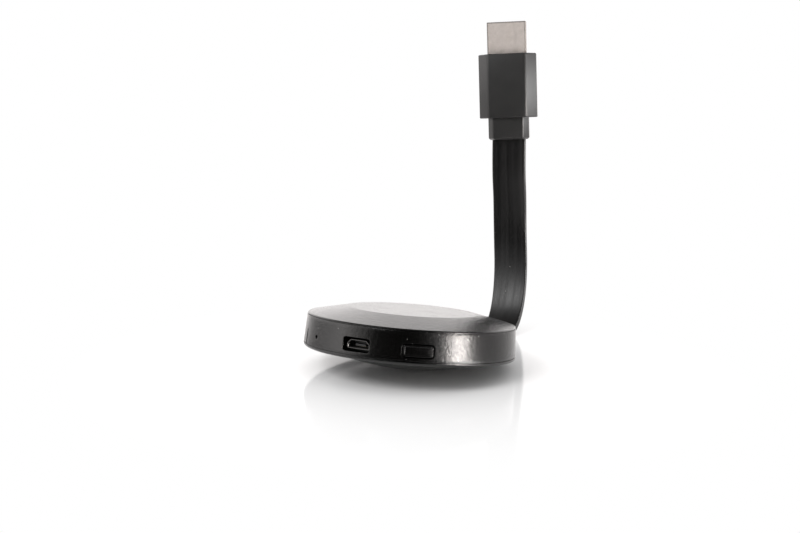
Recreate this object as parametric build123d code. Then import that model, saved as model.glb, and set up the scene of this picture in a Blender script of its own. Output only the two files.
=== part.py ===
from build123d import *
import os
from math import atan2, cos, degrees, radians, sin, sqrt, tan

# Round wireless display stick with a flat cable tail and a full-size plug.
# Millimetres, +Z up.  The case stands as photographed: tipped back on its domed
# underside, with the bend of the flat cable touching the same surface.
# The case is built level first, with its axis on Z and the lower edge of its rim at
# height 0, the micro-USB socket towards -Y and the cable leaving towards +Y.
# Bearings are measured round the case from -Y towards +X.

# Case outline
RIM_R = 34.0            # radius of the rim at its lower edge
RIM_H = 10.7            # height of the rim
RIM_DRAFT = 3.9         # taper of the rim, degrees
WALL = 1.5              # wall of all three mouldings
DISC_R = 20.5           # flat centre disc of the lid
CROWN_H = 2.7           # rise of the lid from the rim to the disc
DISC_BLEND = 5.0        # soft crease round the disc
EDGE_CHAMFER = 0.4      # bright chamfer round the lid
LID_BAND = 0.6          # height of the lid's own edge
BASE_BAND = 1.1         # height of the base's own edge
BASE_CORNER = 0.9       # rounding under the rim
DOME_INSET = 6.0        # edge of the dome under the base, in from the rim
DOME_DEPTH = 5.25       # depth of that dome
DOME_BLEND = 4.0        # blend between the dome and the flat round it
TILT = 6.65             # how far the case is tipped back, degrees

# Seams and fits between the mouldings
SEAM_GAP = 0.2
SEAM_DEPTH = 0.5
FIT = 0.1               # clearance of the locating lips
LIP_T = 1.0
LID_LIP_H = 1.8
BASE_LIP_H = 0.9
BEAD_H = 0.3            # snap beads on the lips
BEAD_HALF = 0.35
BEAD_CLEAR = 0.08
BEAD_SPAN = 11.0        # degrees of lip that each bead covers
BEAD_BEARINGS = (75, 120, 240, 285)
MOULD_LINE_BEARING = -44.0
MOULD_LINE_H = 4.9
MOULD_LINE_W = 0.25
MOULD_LINE_D = 0.3

# Sockets in the rim share one height
PORT_Z = 4.4
BUTTON_BEARING = 32.95
LIGHT_BEARING = -30.2   # pin hole with the status light behind it
PORT_MARGIN = 0.9       # recess round the socket's flared mouth
PIN_HOLE_R = 0.5
CUT_MARGIN = 2.0        # how far a cut runs past the wall it opens
CORNER_SHRINK = 2 - sqrt(2)     # loss of a corner's 45 degree cut per unit of inset

# Circuit board
BOARD_GAP = 2.8         # between the board's edge and the rim
BOARD_T = 1.0
BOARD_Z = 2.0           # underside of the board
BOARD_UNDER_USB = 1.5   # how far the board reaches under the socket
SOLDER = 0.05           # stand-off of the parts on the board
SCREW_INSET = 4.0       # screws in from the board's edge
SCREW_BEARINGS = (62, 130, 230, 298)
BOSS_R = 2.2
SCREW_R = 0.8
SCREW_HEAD_R = 1.7
SCREW_HEAD_H = 1.1
SCREW_HEAD_ROUND = 0.5
SCREW_GRIP = 1.4        # length of screw inside a boss
SCREW_CLEAR = 0.05
SCREW_SLOT_W = 0.5
SCREW_SLOT_D = 0.4
HOLE_PLAY = 0.3

# Micro-USB socket
USB_W = 7.5
USB_H = 2.45
USB_CHAMFER = 1.1
USB_SHEET = 0.28
USB_LENGTH = 5.0
USB_SETBACK = 1.6       # mouth of the shell behind the rim's surface
USB_FLARE = 0.08
USB_FLARE_L = 0.4
USB_BLOCK_L = 1.8
USB_TONGUE_W = 3.5
USB_TONGUE_T = 0.6
USB_TONGUE_L = 1.8
USB_TONGUE_DROP = 0.25  # below the middle of the shell
USB_TONGUE_ROUND = 0.18
USB_FIT = 0.05          # tongue's block inside the shell
USB_CONTACTS = 5
USB_PITCH = 0.65
USB_CONTACT_W = 0.35
USB_CONTACT_T = 0.12
USB_TAB = 0.9
USB_TAB_T = 0.25

# Button and its switch
CAP_W = 9.0
CAP_H = 3.45
CAP_CORNER = 0.7
CAP_GAP = 0.3
CAP_PROUD = 0.25
CAP_EDGE = 0.5          # width of the raised edge
CAP_SINK = 0.2          # depth of the face inside it
FLANGE_LAP = 0.5
FLANGE_T = 0.8
FLANGE_GAP = 0.12
NOTCH_MARGIN = 1.0      # room for the flange in the base's lip
POST_W = 2.4
POST_H = 1.4
POST_L = 0.7
PLUNGER_W = 2.0
PLUNGER_H = 1.0
PLUNGER_OUT = 0.9
PLUNGER_IN = 0.8
PLUNGER_CLEAR = 0.1
TRAVEL = 0.3            # how far the button moves
SWITCH_W = 6.0
SWITCH_D = 3.4
SWITCH_EDGE = 0.25

# Flat cable
RIBBON_W = 11.4
RIBBON_T = 2.4
RIBBON_EDGE = 0.5
GROMMET_WALL = 1.0
GROMMET_OUT = 2.0
GROMMET_TAPER = 0.5
GROMMET_FLANGE = 0.6
GROMMET_FLANGE_T = 1.0
GROMMET_GAP = 0.08
CABLE_LEAD = 9.4        # straight stretch of cable out of the grommet
TAIL_L = 6.5
CLAMP_W = 22.6
CLAMP_D = 4.0
CLAMP_T = 1.5
CLAMP_EDGE = 0.3
CLAMP_GAP = 1.4         # between the clamp and the grommet's flange
CLAMP_BOARD_GAP = 1.0
CLAMP_POST_X = 9.2
WIRE_R = 0.35
WIRE_COUNT = 9
WIRE_PITCH = 1.1
WIRE_LEAD = 1.0         # level stretch out of the jacket
WIRE_SLOPE = 1.6        # length over which a wire comes down
WIRE_FOOT = 1.6         # level stretch on the board

# Plug, in its own frame: Z along the plug, origin where the cable enters
PLUG_AT = (-1.45, 73.78, 69.7)
PLUG_YAW = 19.6         # turn of the plug's broad face from -Y towards +X
PLUG_LEAN = -3.2
PLUG_SIDE = -3.45
NECK_W = 14.5
NECK_T = 7.5
NECK_H = 7.8
NECK_BEVEL_W = 1.8
NECK_BEVEL_T = 2.4
NECK_CHAMFER = 0.6
NECK_SOFT = 0.9         # rounding between a broad face and its bevels
GRIP_W = 20.65
GRIP_T = 10.5
GRIP_H = 22.75
GRIP_BEVEL_W = 3.5
GRIP_BEVEL_T = 4.0
GRIP_SOFT = 1.5
GRIP_ROUND = 0.35
HDMI_W = 13.9
HDMI_T = 4.45
HDMI_SHEET = 0.35
HDMI_BEND = 0.3         # outer radius of the shell's bends
HDMI_OUT = 11.35
HDMI_IN = 6.0
HDMI_STEP_W = 1.3       # narrower side of the shell
HDMI_STEP_T = 1.5
HDMI_FIT = 0.05
HDMI_SETBACK = 1.0
HDMI_SLOT_W = 11.4
HDMI_SLOT_T = 1.5
HDMI_SLOT_L = 7.0
HDMI_PITCH = 1.0
HDMI_CONTACT_W = 0.5
HDMI_CONTACT_T = 0.15
HDMI_ROWS = ((-1, 10), (1, 9))      # side and number of contacts
DIMPLE_R = 0.9
DIMPLE_D = 0.06
DIMPLE_X = 3.3
DIMPLE_UP = 3.9

# Parts on the board: places are (x, y), sizes are (width, depth, height)
CHIP_AT = (-2.5, -7.0)
CHIP = (13.0, 13.0, 1.2)
CHIP_EDGE = 0.2
PAD_T = 0.7
PAD_INSET = 0.5
SINK_W = 18.0
SINK_BASE = 1.2
SINK_FIN_H = 2.5
SINK_FIN_T = 0.9
SINK_FINS = 7
MEMORY = (7.5, 9.0, 1.0)
MEMORY_AT = ((12.2, -10.5), (12.2, 0.0))
FLASH = (4.0, 5.0, 1.5)
FLASH_X = -18.0
FLASH_SCREW_GAP = 1.5   # between the flash chip and the screw in front of it
LEAD_COUNT = 4
LEAD_W = 0.4
LEAD_L = 0.9
LEAD_T = 0.2
LEAD_PITCH = 1.27
RADIO = (12.0, 12.0, 0.8)
RADIO_SINK_GAP = 0.3    # between the wireless board and the heat sink beside it
RADIO_SCREW_GAP = 0.35  # and the screw behind it
SHIELD_INSET = 0.6
SHIELD_H = 1.7
SHIELD_SHEET = 0.2
CRYSTAL = (3.2, 2.5, 0.8)
CRYSTAL_AT = (-5.0, 7.5)
CRYSTAL_ROUND = 0.4
COIL = (4.0, 4.0, 2.0)
COIL_ROUND = 0.8
COIL_AT = ((17.5, 8.0), (11.5, 10.5), (5.0, 13.5))
CAP_CHIP = (1.0, 0.5, 0.5)
CAP_CHIP_ROWS = ((-14.0, -17.5), (-4.0, 12.5), (-4.0, -18.5))
CAP_CHIP_COUNT = 4
CAP_CHIP_PITCH = 1.8
LED_W = 3.0
LED_D = 1.2
LED_H = 2.6
LED_LENS_R = 0.7
AERIAL_BEARING = 212.0  # bearing where the strip starts
AERIAL_SPAN = 52.0      # degrees of wall that it covers
AERIAL_GAP = 0.05
AERIAL_H = 2.6
AERIAL_T = 0.15

# Route of the flat cable's free stretch after its straight lead out of the grommet:
# hand-chosen points up to the plug, where it stands, in the standing frame
CABLE_POINTS = (
    (0.0, 55.5, 1.2),
    (0.0, 66.2, 1.2),
    (0.0, 76.1, 10.0),
    (0.0, 75.9, 23.5),
    (0.0, 74.2, 38.5),
    (-0.4, 73.3, 54.4),
)
CABLE_TWIST = (0.0, 6.5, 13.0)      # turn of the broad face at the last three stations
RADIUS_SHARE = 0.45

os.makedirs("parts", exist_ok=True)


# Sizes that follow from the driving dimensions

def rim_radius(height):
    """Radius of the tapered rim at a height."""
    return RIM_R - height * tan(radians(RIM_DRAFT))


LID_SEAM_Z = RIM_H - LID_BAND
CROWN_Z = RIM_H + CROWN_H
INNER_R = rim_radius(RIM_H) - WALL
LIP_R = INNER_R - FIT
DOME_R = RIM_R - DOME_INSET
CABLE_Z = RIM_H / 2
BOARD_R = INNER_R - BOARD_GAP
SCREW_RING_R = BOARD_R - SCREW_INSET
REAR_SCREW_Y = -SCREW_RING_R * cos(radians(SCREW_BEARINGS[2]))
FRONT_SCREW_Y = -SCREW_RING_R * cos(radians(SCREW_BEARINGS[3]))
RADIO_X = CHIP_AT[0] - SINK_W / 2 - RADIO_SINK_GAP - RADIO[0] / 2
RADIO_Y = REAR_SCREW_Y - SCREW_HEAD_R - RADIO_SCREW_GAP - RADIO[1] / 2
FLASH_Y = FRONT_SCREW_Y + SCREW_HEAD_R + FLASH_SCREW_GAP + FLASH[1] / 2
DOME_SPHERE = (DOME_R**2 + DOME_DEPTH**2) / (2 * DOME_DEPTH)
DOME_CENTRE = DOME_SPHERE - DOME_DEPTH
STAND_H = DOME_SPHERE - DOME_CENTRE * cos(radians(TILT))
STANDING = Pos(0, 0, STAND_H) * Rot(-TILT, 0, 0)
BOARD_TOP = BOARD_Z + BOARD_T
ON_BOARD = BOARD_TOP + SOLDER
USB_MOUTH = rim_radius(PORT_Z) - USB_SETBACK
USB_BACK = USB_MOUTH - USB_LENGTH
BOARD_FRONT = USB_BACK + BOARD_UNDER_USB
FLANGE_W = CAP_W + 2 * (CAP_GAP + FLANGE_LAP)
FLANGE_H = CAP_H + 2 * (CAP_GAP + FLANGE_LAP)
FLANGE_FRONT = sqrt(INNER_R**2 - (FLANGE_W / 2) ** 2) - FLANGE_GAP
FLANGE_BACK = FLANGE_FRONT - FLANGE_T
POST_END = FLANGE_BACK - POST_L
SWITCH_FRONT = POST_END - PLUNGER_OUT
GROMMET_W = RIBBON_W + 2 * GROMMET_WALL
GROMMET_H = RIBBON_T + 2 * GROMMET_WALL
GROMMET_END = rim_radius(CABLE_Z) + GROMMET_OUT
FLANGE_HALF = GROMMET_W / 2 + GROMMET_FLANGE
GROMMET_SEAT = sqrt(INNER_R**2 - FLANGE_HALF**2) - GROMMET_GAP
GROMMET_BACK = GROMMET_SEAT - GROMMET_FLANGE_T
TAIL_END = GROMMET_BACK - TAIL_L
CLAMP_Y = GROMMET_BACK - CLAMP_GAP - CLAMP_D / 2
CLAMP_Z = CABLE_Z + RIBBON_T / 2
BOARD_REAR = CLAMP_Y - CLAMP_D / 2 - CLAMP_BOARD_GAP
PLUG = Pos(*PLUG_AT) * Rot(0, 0, PLUG_YAW) * Rot(PLUG_LEAN, 0, 0) * Rot(0, PLUG_SIDE, 0)
GRIP_TOP = NECK_H + GRIP_H
SHELL_FOOT = GRIP_TOP - HDMI_IN


# Helpers

def outline(*corners):
    """Closed sketch from (x, y, radius) corners, rounded where the radius is not 0."""
    sketch = Polygon(*[(x, y) for x, y, _ in corners], align=None)
    for x, y, radius in corners:
        if radius:
            sketch = fillet(sketch.vertices().sort_by_distance((x, y, 0))[0], radius)
    return sketch


def turned(sketch, arc=360.0, start=0.0):
    """Revolve a (radius, height) sketch about Z, from a bearing over an arc."""
    solid = revolve(Plane.XZ * sketch, Axis.Z, revolution_arc=arc)
    return Rot(0, 0, start - 90) * solid


def facing(distance):
    """Plane that looks out towards -Y, this far from the case's axis."""
    return Plane.XZ.offset(distance)


def radial(sketch, outer, inner, height=PORT_Z):
    """Bar along -Y from one distance to another, at a height."""
    return Pos(0, 0, height) * extrude(facing(inner) * sketch, outer - inner)


def at_bearing(bearing, solid):
    return Rot(0, 0, bearing) * solid


def ring_place(bearing, radius, height):
    """Place on a circle round the case."""
    return Pos(radius * sin(radians(bearing)), -radius * cos(radians(bearing)), height)


def block(x, y, width, depth, height, base=ON_BOARD):
    return Pos(x, y, base) * extrude(Rectangle(width, depth), height)


def floor_z(radius):
    """Inner surface of the base at a radius."""
    if radius >= DOME_R:
        return WALL
    return min(WALL, DOME_CENTRE - sqrt((DOME_SPHERE - WALL) ** 2 - radius**2))


def screw(grip, clamped):
    """Slotted pan-head screw, head underside at 0, pointing down."""
    head = extrude(Circle(SCREW_HEAD_R), SCREW_HEAD_H)
    head = fillet(head.edges().group_by(Axis.Z)[-1], SCREW_HEAD_ROUND)
    shank = extrude(Circle(SCREW_R), -(grip + clamped))
    slot = Pos(0, 0, SCREW_HEAD_H) * Box(4 * SCREW_HEAD_R, SCREW_SLOT_W, 2 * SCREW_SLOT_D)
    return head + shank - slot


def snap_bead(height, clearance):
    """Ridge profile on a lip, or its groove when it has clearance."""
    half = BEAD_HALF + clearance
    inner = LIP_R - FIT
    tip = LIP_R + BEAD_H + clearance
    return outline((inner, height - half, 0), (tip, height, 0), (inner, height + half, 0))


def cone_inside(offset):
    """Solid bounded by the rim's surface moved outwards by an offset."""
    low, high = -CUT_MARGIN, RIM_H + CUT_MARGIN
    corners = (
        (0, low, 0),
        (rim_radius(low) + offset, low, 0),
        (rim_radius(high) + offset, high, 0),
        (0, high, 0),
    )
    return turned(outline(*corners))


def write(name, solid, place=STANDING):
    export_step(place * solid, f"parts/{name}.step")


# Casing

def make_lid():
    edge_z = RIM_H - EDGE_CHAMFER
    gap_z = LID_SEAM_Z + SEAM_GAP
    shoulder_r = rim_radius(RIM_H) - EDGE_CHAMFER
    lip_in = LIP_R - LIP_T
    roof = WALL / cos(atan2(CROWN_H, shoulder_r - DISC_R))
    slope = CROWN_H / (shoulder_r - DISC_R)
    shape = outline(
        (0, CROWN_Z, 0),
        (DISC_R, CROWN_Z, DISC_BLEND),
        (shoulder_r, RIM_H, 0),
        (rim_radius(edge_z), edge_z, 0),
        (rim_radius(gap_z), gap_z, 0),
        (rim_radius(gap_z) - SEAM_DEPTH, gap_z, 0),
        (rim_radius(gap_z) - SEAM_DEPTH, LID_SEAM_Z, 0),
        (LIP_R, LID_SEAM_Z, 0),
        (LIP_R, LID_SEAM_Z - LID_LIP_H, 0),
        (lip_in, LID_SEAM_Z - LID_LIP_H, 0),
        (lip_in, RIM_H + (shoulder_r - lip_in) * slope - roof, 0),
        (DISC_R, CROWN_Z - roof, DISC_BLEND),
        (0, CROWN_Z - roof, 0),
    )
    lid = turned(shape)
    bead = snap_bead(LID_SEAM_Z - LID_LIP_H / 2, 0)
    for bearing in BEAD_BEARINGS:
        lid += turned(bead, BEAD_SPAN, bearing)
    return lid


def make_rim():
    gap_z = BASE_BAND + SEAM_GAP
    foot_r = rim_radius(gap_z)
    shape = outline(
        (INNER_R, BASE_BAND, 0),
        (foot_r - SEAM_DEPTH, BASE_BAND, 0),
        (foot_r - SEAM_DEPTH, gap_z, 0),
        (foot_r, gap_z, 0),
        (rim_radius(LID_SEAM_Z), LID_SEAM_Z, 0),
        (INNER_R, LID_SEAM_Z, 0),
    )
    rim = turned(shape)
    for height in (LID_SEAM_Z - LID_LIP_H / 2, BASE_BAND + BASE_LIP_H / 2):
        groove = snap_bead(height, BEAD_CLEAR)
        margin = 2 * degrees(BEAD_CLEAR / LIP_R)
        for bearing in BEAD_BEARINGS:
            rim -= turned(groove, BEAD_SPAN + 2 * margin, bearing - margin)
    reach = RIM_R + CUT_MARGIN
    socket = RectangleRounded(USB_W + 2 * PORT_MARGIN, USB_H + 2 * PORT_MARGIN, PORT_MARGIN)
    rim -= radial(socket, reach, INNER_R - CUT_MARGIN)
    opening = RectangleRounded(CAP_W + 2 * CAP_GAP, CAP_H + 2 * CAP_GAP, CAP_CORNER + CAP_GAP)
    rim -= at_bearing(BUTTON_BEARING, radial(opening, reach, INNER_R - CUT_MARGIN))
    pin_hole = radial(Circle(PIN_HOLE_R), reach, INNER_R - CUT_MARGIN)
    rim -= at_bearing(LIGHT_BEARING, pin_hole)
    slot_w = GROMMET_W + 2 * GROMMET_GAP
    slot_h = GROMMET_H + 2 * GROMMET_GAP
    slot = RectangleRounded(slot_w, slot_h, GROMMET_WALL + RIBBON_EDGE)
    rim -= at_bearing(180, radial(slot, reach, INNER_R - CUT_MARGIN, CABLE_Z))
    line = Box(MOULD_LINE_W, 2 * MOULD_LINE_D, MOULD_LINE_H)
    middle = BASE_BAND + MOULD_LINE_H / 2
    line = Pos(0, -rim_radius(middle), middle) * Rot(-RIM_DRAFT, 0, 0) * line
    return rim - at_bearing(MOULD_LINE_BEARING, line)


def make_base():
    lip_top = BASE_BAND + BASE_LIP_H
    band_r = rim_radius(BASE_BAND)
    lip_in = LIP_R - LIP_T
    inner_sphere = DOME_SPHERE - WALL
    inner_base = sqrt(inner_sphere**2 - (DOME_CENTRE - WALL) ** 2)

    def dome_point(sphere, radius):
        return (radius, DOME_CENTRE - sqrt(sphere**2 - radius**2))

    outer_arc = ThreePointArc(
        dome_point(DOME_SPHERE, 0), dome_point(DOME_SPHERE, DOME_R / 2), (DOME_R, 0)
    )
    inner_arc = ThreePointArc(
        (inner_base, WALL), dome_point(inner_sphere, inner_base / 2), dome_point(inner_sphere, 0)
    )
    steps = Polyline(
        (DOME_R, 0),
        (rim_radius(0), 0),
        (band_r, BASE_BAND),
        (LIP_R, BASE_BAND),
        (LIP_R, lip_top),
        (lip_in, lip_top),
        (lip_in, WALL),
        (inner_base, WALL),
    )
    close = Line(dome_point(inner_sphere, 0), dome_point(DOME_SPHERE, 0))
    shape = make_face([outer_arc, steps, inner_arc, close])
    shape = fillet(shape.vertices().sort_by_distance((rim_radius(0), 0, 0))[0], BASE_CORNER)
    shape = fillet(shape.vertices().sort_by_distance((DOME_R, 0, 0))[0], DOME_BLEND)
    base = turned(shape)
    bead = snap_bead(BASE_BAND + BASE_LIP_H / 2, 0)
    for bearing in BEAD_BEARINGS:
        base += turned(bead, BEAD_SPAN, bearing)
    notch = Rectangle(FLANGE_W + 2 * NOTCH_MARGIN, 2 * FLANGE_H)
    notch = radial(notch, INNER_R + FIT, lip_in - NOTCH_MARGIN, WALL + FLANGE_H)
    base -= at_bearing(BUTTON_BEARING, notch)
    pilot = SCREW_GRIP + SCREW_CLEAR
    for bearing in SCREW_BEARINGS:
        foot = floor_z(SCREW_RING_R) - WALL / 2
        boss = extrude(Circle(BOSS_R), BOARD_Z - foot)
        base += ring_place(bearing, SCREW_RING_R, foot) * boss
        hole = extrude(Circle(SCREW_R + SCREW_CLEAR), -pilot)
        base -= ring_place(bearing, SCREW_RING_R, BOARD_Z) * hole
    foot = WALL / 2
    ledge = extrude(Rectangle(RIBBON_W, CLAMP_D), CABLE_Z - RIBBON_T / 2 - foot)
    base += Pos(0, CLAMP_Y, foot) * ledge
    for side in (-1, 1):
        post = extrude(Circle(CLAMP_D / 2), CLAMP_Z - foot)
        base += Pos(side * CLAMP_POST_X, CLAMP_Y, foot) * post
        hole = extrude(Circle(SCREW_R + SCREW_CLEAR), -(2 * SCREW_GRIP + SCREW_CLEAR))
        base -= Pos(side * CLAMP_POST_X, CLAMP_Y, CLAMP_Z) * hole
    return base


# Micro-USB socket

def usb_outline(inset):
    """Socket section, its two upper corners cut off, shrunk by an inset."""
    half_w = USB_W / 2 - inset
    half_h = USB_H / 2 - inset
    cut = USB_CHAMFER - inset * CORNER_SHRINK
    return Polygon(
        (-half_w, -half_h),
        (half_w, -half_h),
        (half_w, half_h - cut),
        (half_w - cut, half_h),
        (-half_w + cut, half_h),
        (-half_w, half_h - cut),
        align=None,
    )


def make_usb():
    tube = usb_outline(0) - usb_outline(USB_SHEET)
    lip = usb_outline(-USB_FLARE) - usb_outline(USB_SHEET / 2)
    shell = radial(tube, USB_MOUTH - USB_FLARE_L, USB_BACK)
    shell += radial(lip, USB_MOUTH, USB_MOUTH - USB_FLARE_L)
    tab_y = -(USB_BACK + USB_TAB)
    for side in (-1, 1):
        tab = Pos(side * (USB_W / 2), tab_y, ON_BOARD + USB_TAB_T / 2)
        shell += tab * Box(2 * USB_TAB, USB_TAB, USB_TAB_T)
    shell -= radial(usb_outline(USB_SHEET), USB_MOUTH, USB_BACK)
    block_front = USB_BACK + USB_BLOCK_L
    insulator = radial(usb_outline(USB_SHEET + USB_FIT), block_front, USB_BACK)
    tongue = RectangleRounded(USB_TONGUE_W, USB_TONGUE_T, USB_TONGUE_ROUND)
    tongue_front = block_front + USB_TONGUE_L
    tongue_z = PORT_Z - USB_TONGUE_DROP
    insulator += radial(tongue, tongue_front, block_front, tongue_z)
    contacts = []
    strip = Rectangle(USB_CONTACT_W, USB_CONTACT_T)
    strip_z = tongue_z - USB_TONGUE_T / 2 - USB_CONTACT_T / 2
    foot_z = ON_BOARD + USB_CONTACT_T / 2
    for index in range(USB_CONTACTS):
        across = Pos((index - (USB_CONTACTS - 1) / 2) * USB_PITCH, 0, 0)
        contacts.append(across * radial(strip, tongue_front - USB_PITCH, block_front, strip_z))
        contacts.append(across * radial(strip, USB_BACK, USB_BACK - USB_TAB, foot_z))
    return shell, insulator, Compound(contacts)


# Button and its switch, built at bearing 0

def make_button():
    face = RectangleRounded(CAP_W, CAP_H, CAP_CORNER)
    inset = RectangleRounded(CAP_W - 2 * CAP_EDGE, CAP_H - 2 * CAP_EDGE, CAP_CORNER - CAP_EDGE / 2)
    reach = RIM_R + CUT_MARGIN
    cap = radial(face, reach, FLANGE_FRONT) & cone_inside(CAP_PROUD)
    cap -= radial(inset, reach, FLANGE_FRONT) - cone_inside(CAP_PROUD - CAP_SINK)
    cap += radial(RectangleRounded(FLANGE_W, FLANGE_H, CAP_CORNER), FLANGE_FRONT, FLANGE_BACK)
    cap += radial(Rectangle(POST_W, POST_H), FLANGE_BACK, POST_END)
    return cap


def make_switch():
    height = 2 * (PORT_Z - ON_BOARD)
    body = radial(Rectangle(SWITCH_W, height), SWITCH_FRONT, SWITCH_FRONT - SWITCH_D)
    body = chamfer(body.edges().filter_by(Axis.Y), SWITCH_EDGE)
    hole_w = PLUNGER_W + 2 * PLUNGER_CLEAR
    hole_h = PLUNGER_H + 2 * PLUNGER_CLEAR
    depth = PLUNGER_IN + TRAVEL + PLUNGER_CLEAR
    body -= radial(Rectangle(hole_w, hole_h), SWITCH_FRONT, SWITCH_FRONT - depth)
    plunger = radial(Rectangle(PLUNGER_W, PLUNGER_H), POST_END, SWITCH_FRONT - PLUNGER_IN)
    return body, plunger


# Board and the parts on it

def make_board():
    board = Circle(BOARD_R)
    front = Pos(0, -BOARD_R - BOARD_FRONT) * Rectangle(2 * BOARD_R, 2 * BOARD_R)
    rear = Pos(0, BOARD_R + BOARD_REAR) * Rectangle(2 * BOARD_R, 2 * BOARD_R)
    board = board - front - rear
    for bearing in SCREW_BEARINGS:
        board -= ring_place(bearing, SCREW_RING_R, 0) * Circle(SCREW_R + HOLE_PLAY)
    return Pos(0, 0, BOARD_Z) * extrude(board, BOARD_T)


def make_board_screws():
    one = screw(SCREW_GRIP, BOARD_T)
    places = [ring_place(bearing, SCREW_RING_R, BOARD_TOP) for bearing in SCREW_BEARINGS]
    return Compound([place * one for place in places])


def make_cooling():
    chip_x, chip_y = CHIP_AT
    chip = block(chip_x, chip_y, *CHIP)
    chip = chamfer(chip.edges().group_by(Axis.Z)[-1], CHIP_EDGE)
    pad_z = ON_BOARD + CHIP[2]
    pad_w, pad_d = CHIP[0] - 2 * PAD_INSET, CHIP[1] - 2 * PAD_INSET
    pad = block(chip_x, chip_y, pad_w, pad_d, PAD_T, pad_z)
    sink_z = pad_z + PAD_T
    sink = block(chip_x, chip_y, SINK_W, SINK_W, SINK_BASE, sink_z)
    pitch = (SINK_W - SINK_FIN_T) / (SINK_FINS - 1)
    for index in range(SINK_FINS):
        x = chip_x - (SINK_W - SINK_FIN_T) / 2 + index * pitch
        sink += block(x, chip_y, SINK_FIN_T, SINK_W, SINK_BASE + SINK_FIN_H, sink_z)
    return chip, pad, sink


def make_flash():
    width, depth, height = FLASH
    package = block(FLASH_X, FLASH_Y, width, depth, height)
    package = chamfer(package.edges().group_by(Axis.Z)[-1], CHIP_EDGE)
    leads = []
    for side in (-1, 1):
        for index in range(LEAD_COUNT):
            lead_x = FLASH_X + side * (width + LEAD_L) / 2
            lead_y = FLASH_Y + (index - (LEAD_COUNT - 1) / 2) * LEAD_PITCH
            leads.append(block(lead_x, lead_y, LEAD_L, LEAD_W, LEAD_T))
    return Compound([package] + leads)


def make_radio():
    x, y = RADIO_X, RADIO_Y
    width, depth, height = RADIO
    carrier = block(x, y, width, depth, height)
    base = ON_BOARD + height
    outer = block(x, y, width - 2 * SHIELD_INSET, depth - 2 * SHIELD_INSET, SHIELD_H, base)
    outer = fillet(outer.edges().filter_by(Axis.Z), 2 * SHIELD_SHEET)
    trim = 2 * (SHIELD_INSET + SHIELD_SHEET)
    hollow = block(x, y, width - trim, depth - trim, SHIELD_H - SHIELD_SHEET, base)
    return carrier, outer - hollow


def make_memory():
    return Compound([block(x, y, *MEMORY) for x, y in MEMORY_AT])


def make_coils():
    coils = []
    for x, y in COIL_AT:
        coil = block(x, y, *COIL)
        coils.append(fillet(coil.edges().filter_by(Axis.Z), COIL_ROUND))
    return Compound(coils)


def make_capacitors():
    chips = []
    for x, y in CAP_CHIP_ROWS:
        for index in range(CAP_CHIP_COUNT):
            chips.append(block(x + index * CAP_CHIP_PITCH, y, *CAP_CHIP))
    return Compound(chips)


def make_crystal():
    can = block(*CRYSTAL_AT, *CRYSTAL)
    return fillet(can.edges().filter_by(Axis.Z), CRYSTAL_ROUND)


def make_led():
    front = BOARD_FRONT - LED_D / 2
    body = radial(Rectangle(LED_W, LED_H), front, front - LED_D, ON_BOARD + LED_H / 2)
    lens = Pos(0, -front, PORT_Z) * Sphere(LED_LENS_R)
    return body + lens


def make_aerial():
    outer = INNER_R - AERIAL_GAP
    low = PORT_Z - AERIAL_H / 2
    strip = outline(
        (outer - AERIAL_T, low, 0),
        (outer, low, 0),
        (outer, low + AERIAL_H, 0),
        (outer - AERIAL_T, low + AERIAL_H, 0),
    )
    return turned(strip, AERIAL_SPAN, AERIAL_BEARING)


# Cable inside the case

def cable_section():
    return RectangleRounded(RIBBON_W, RIBBON_T, RIBBON_EDGE)


def make_grommet():
    corner = GROMMET_WALL + RIBBON_EDGE
    body = RectangleRounded(GROMMET_W, GROMMET_H, corner)
    small_w = GROMMET_W - 2 * GROMMET_TAPER
    small_h = GROMMET_H - 2 * GROMMET_TAPER
    tip = RectangleRounded(small_w, small_h, corner - GROMMET_TAPER)
    wall_r = rim_radius(CABLE_Z) + GROMMET_OUT / 4
    grommet = radial(body, wall_r, GROMMET_SEAT, CABLE_Z)
    taper = loft([facing(wall_r) * body, facing(GROMMET_END) * tip])
    grommet += Pos(0, 0, CABLE_Z) * taper
    flange_h = GROMMET_H + 2 * GROMMET_FLANGE
    flange = RectangleRounded(2 * FLANGE_HALF, flange_h, corner)
    grommet += radial(flange, GROMMET_SEAT, GROMMET_BACK, CABLE_Z)
    return at_bearing(180, grommet)


def make_tail():
    return at_bearing(180, radial(cable_section(), GROMMET_BACK, TAIL_END, CABLE_Z))


def make_wires():
    drop = CABLE_Z - ON_BOARD - WIRE_R
    wires = []
    for index in range(WIRE_COUNT):
        x = (index - (WIRE_COUNT - 1) / 2) * WIRE_PITCH
        start = Vector(x, TAIL_END, CABLE_Z)
        knee = start + Vector(0, -WIRE_LEAD, 0)
        toe = knee + Vector(0, -WIRE_SLOPE, -drop)
        end = toe + Vector(0, -WIRE_FOOT, 0)
        path = FilletPolyline(start, knee, toe, end, radius=2 * WIRE_R)
        wires.append(sweep(Plane(start, z_dir=(0, -1, 0)) * Circle(WIRE_R), path=path))
    return Compound([wire.solid() for wire in wires])


def make_clamp():
    bar = extrude(SlotOverall(CLAMP_W, CLAMP_D), CLAMP_T)
    bar = chamfer(bar.edges().group_by(Axis.Z)[-1], CLAMP_EDGE)
    for side in (-1, 1):
        bar -= Pos(side * CLAMP_POST_X, 0, CLAMP_T / 2) * Cylinder(SCREW_R + HOLE_PLAY, 2 * CLAMP_T)
    one = screw(2 * SCREW_GRIP, CLAMP_T)
    top = CLAMP_Z + CLAMP_T
    screws = [Pos(side * CLAMP_POST_X, CLAMP_Y, top) * one for side in (-1, 1)]
    return Pos(0, CLAMP_Y, CLAMP_Z) * bar, Compound(screws)


# Free stretch of the flat cable, in the standing frame

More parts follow.
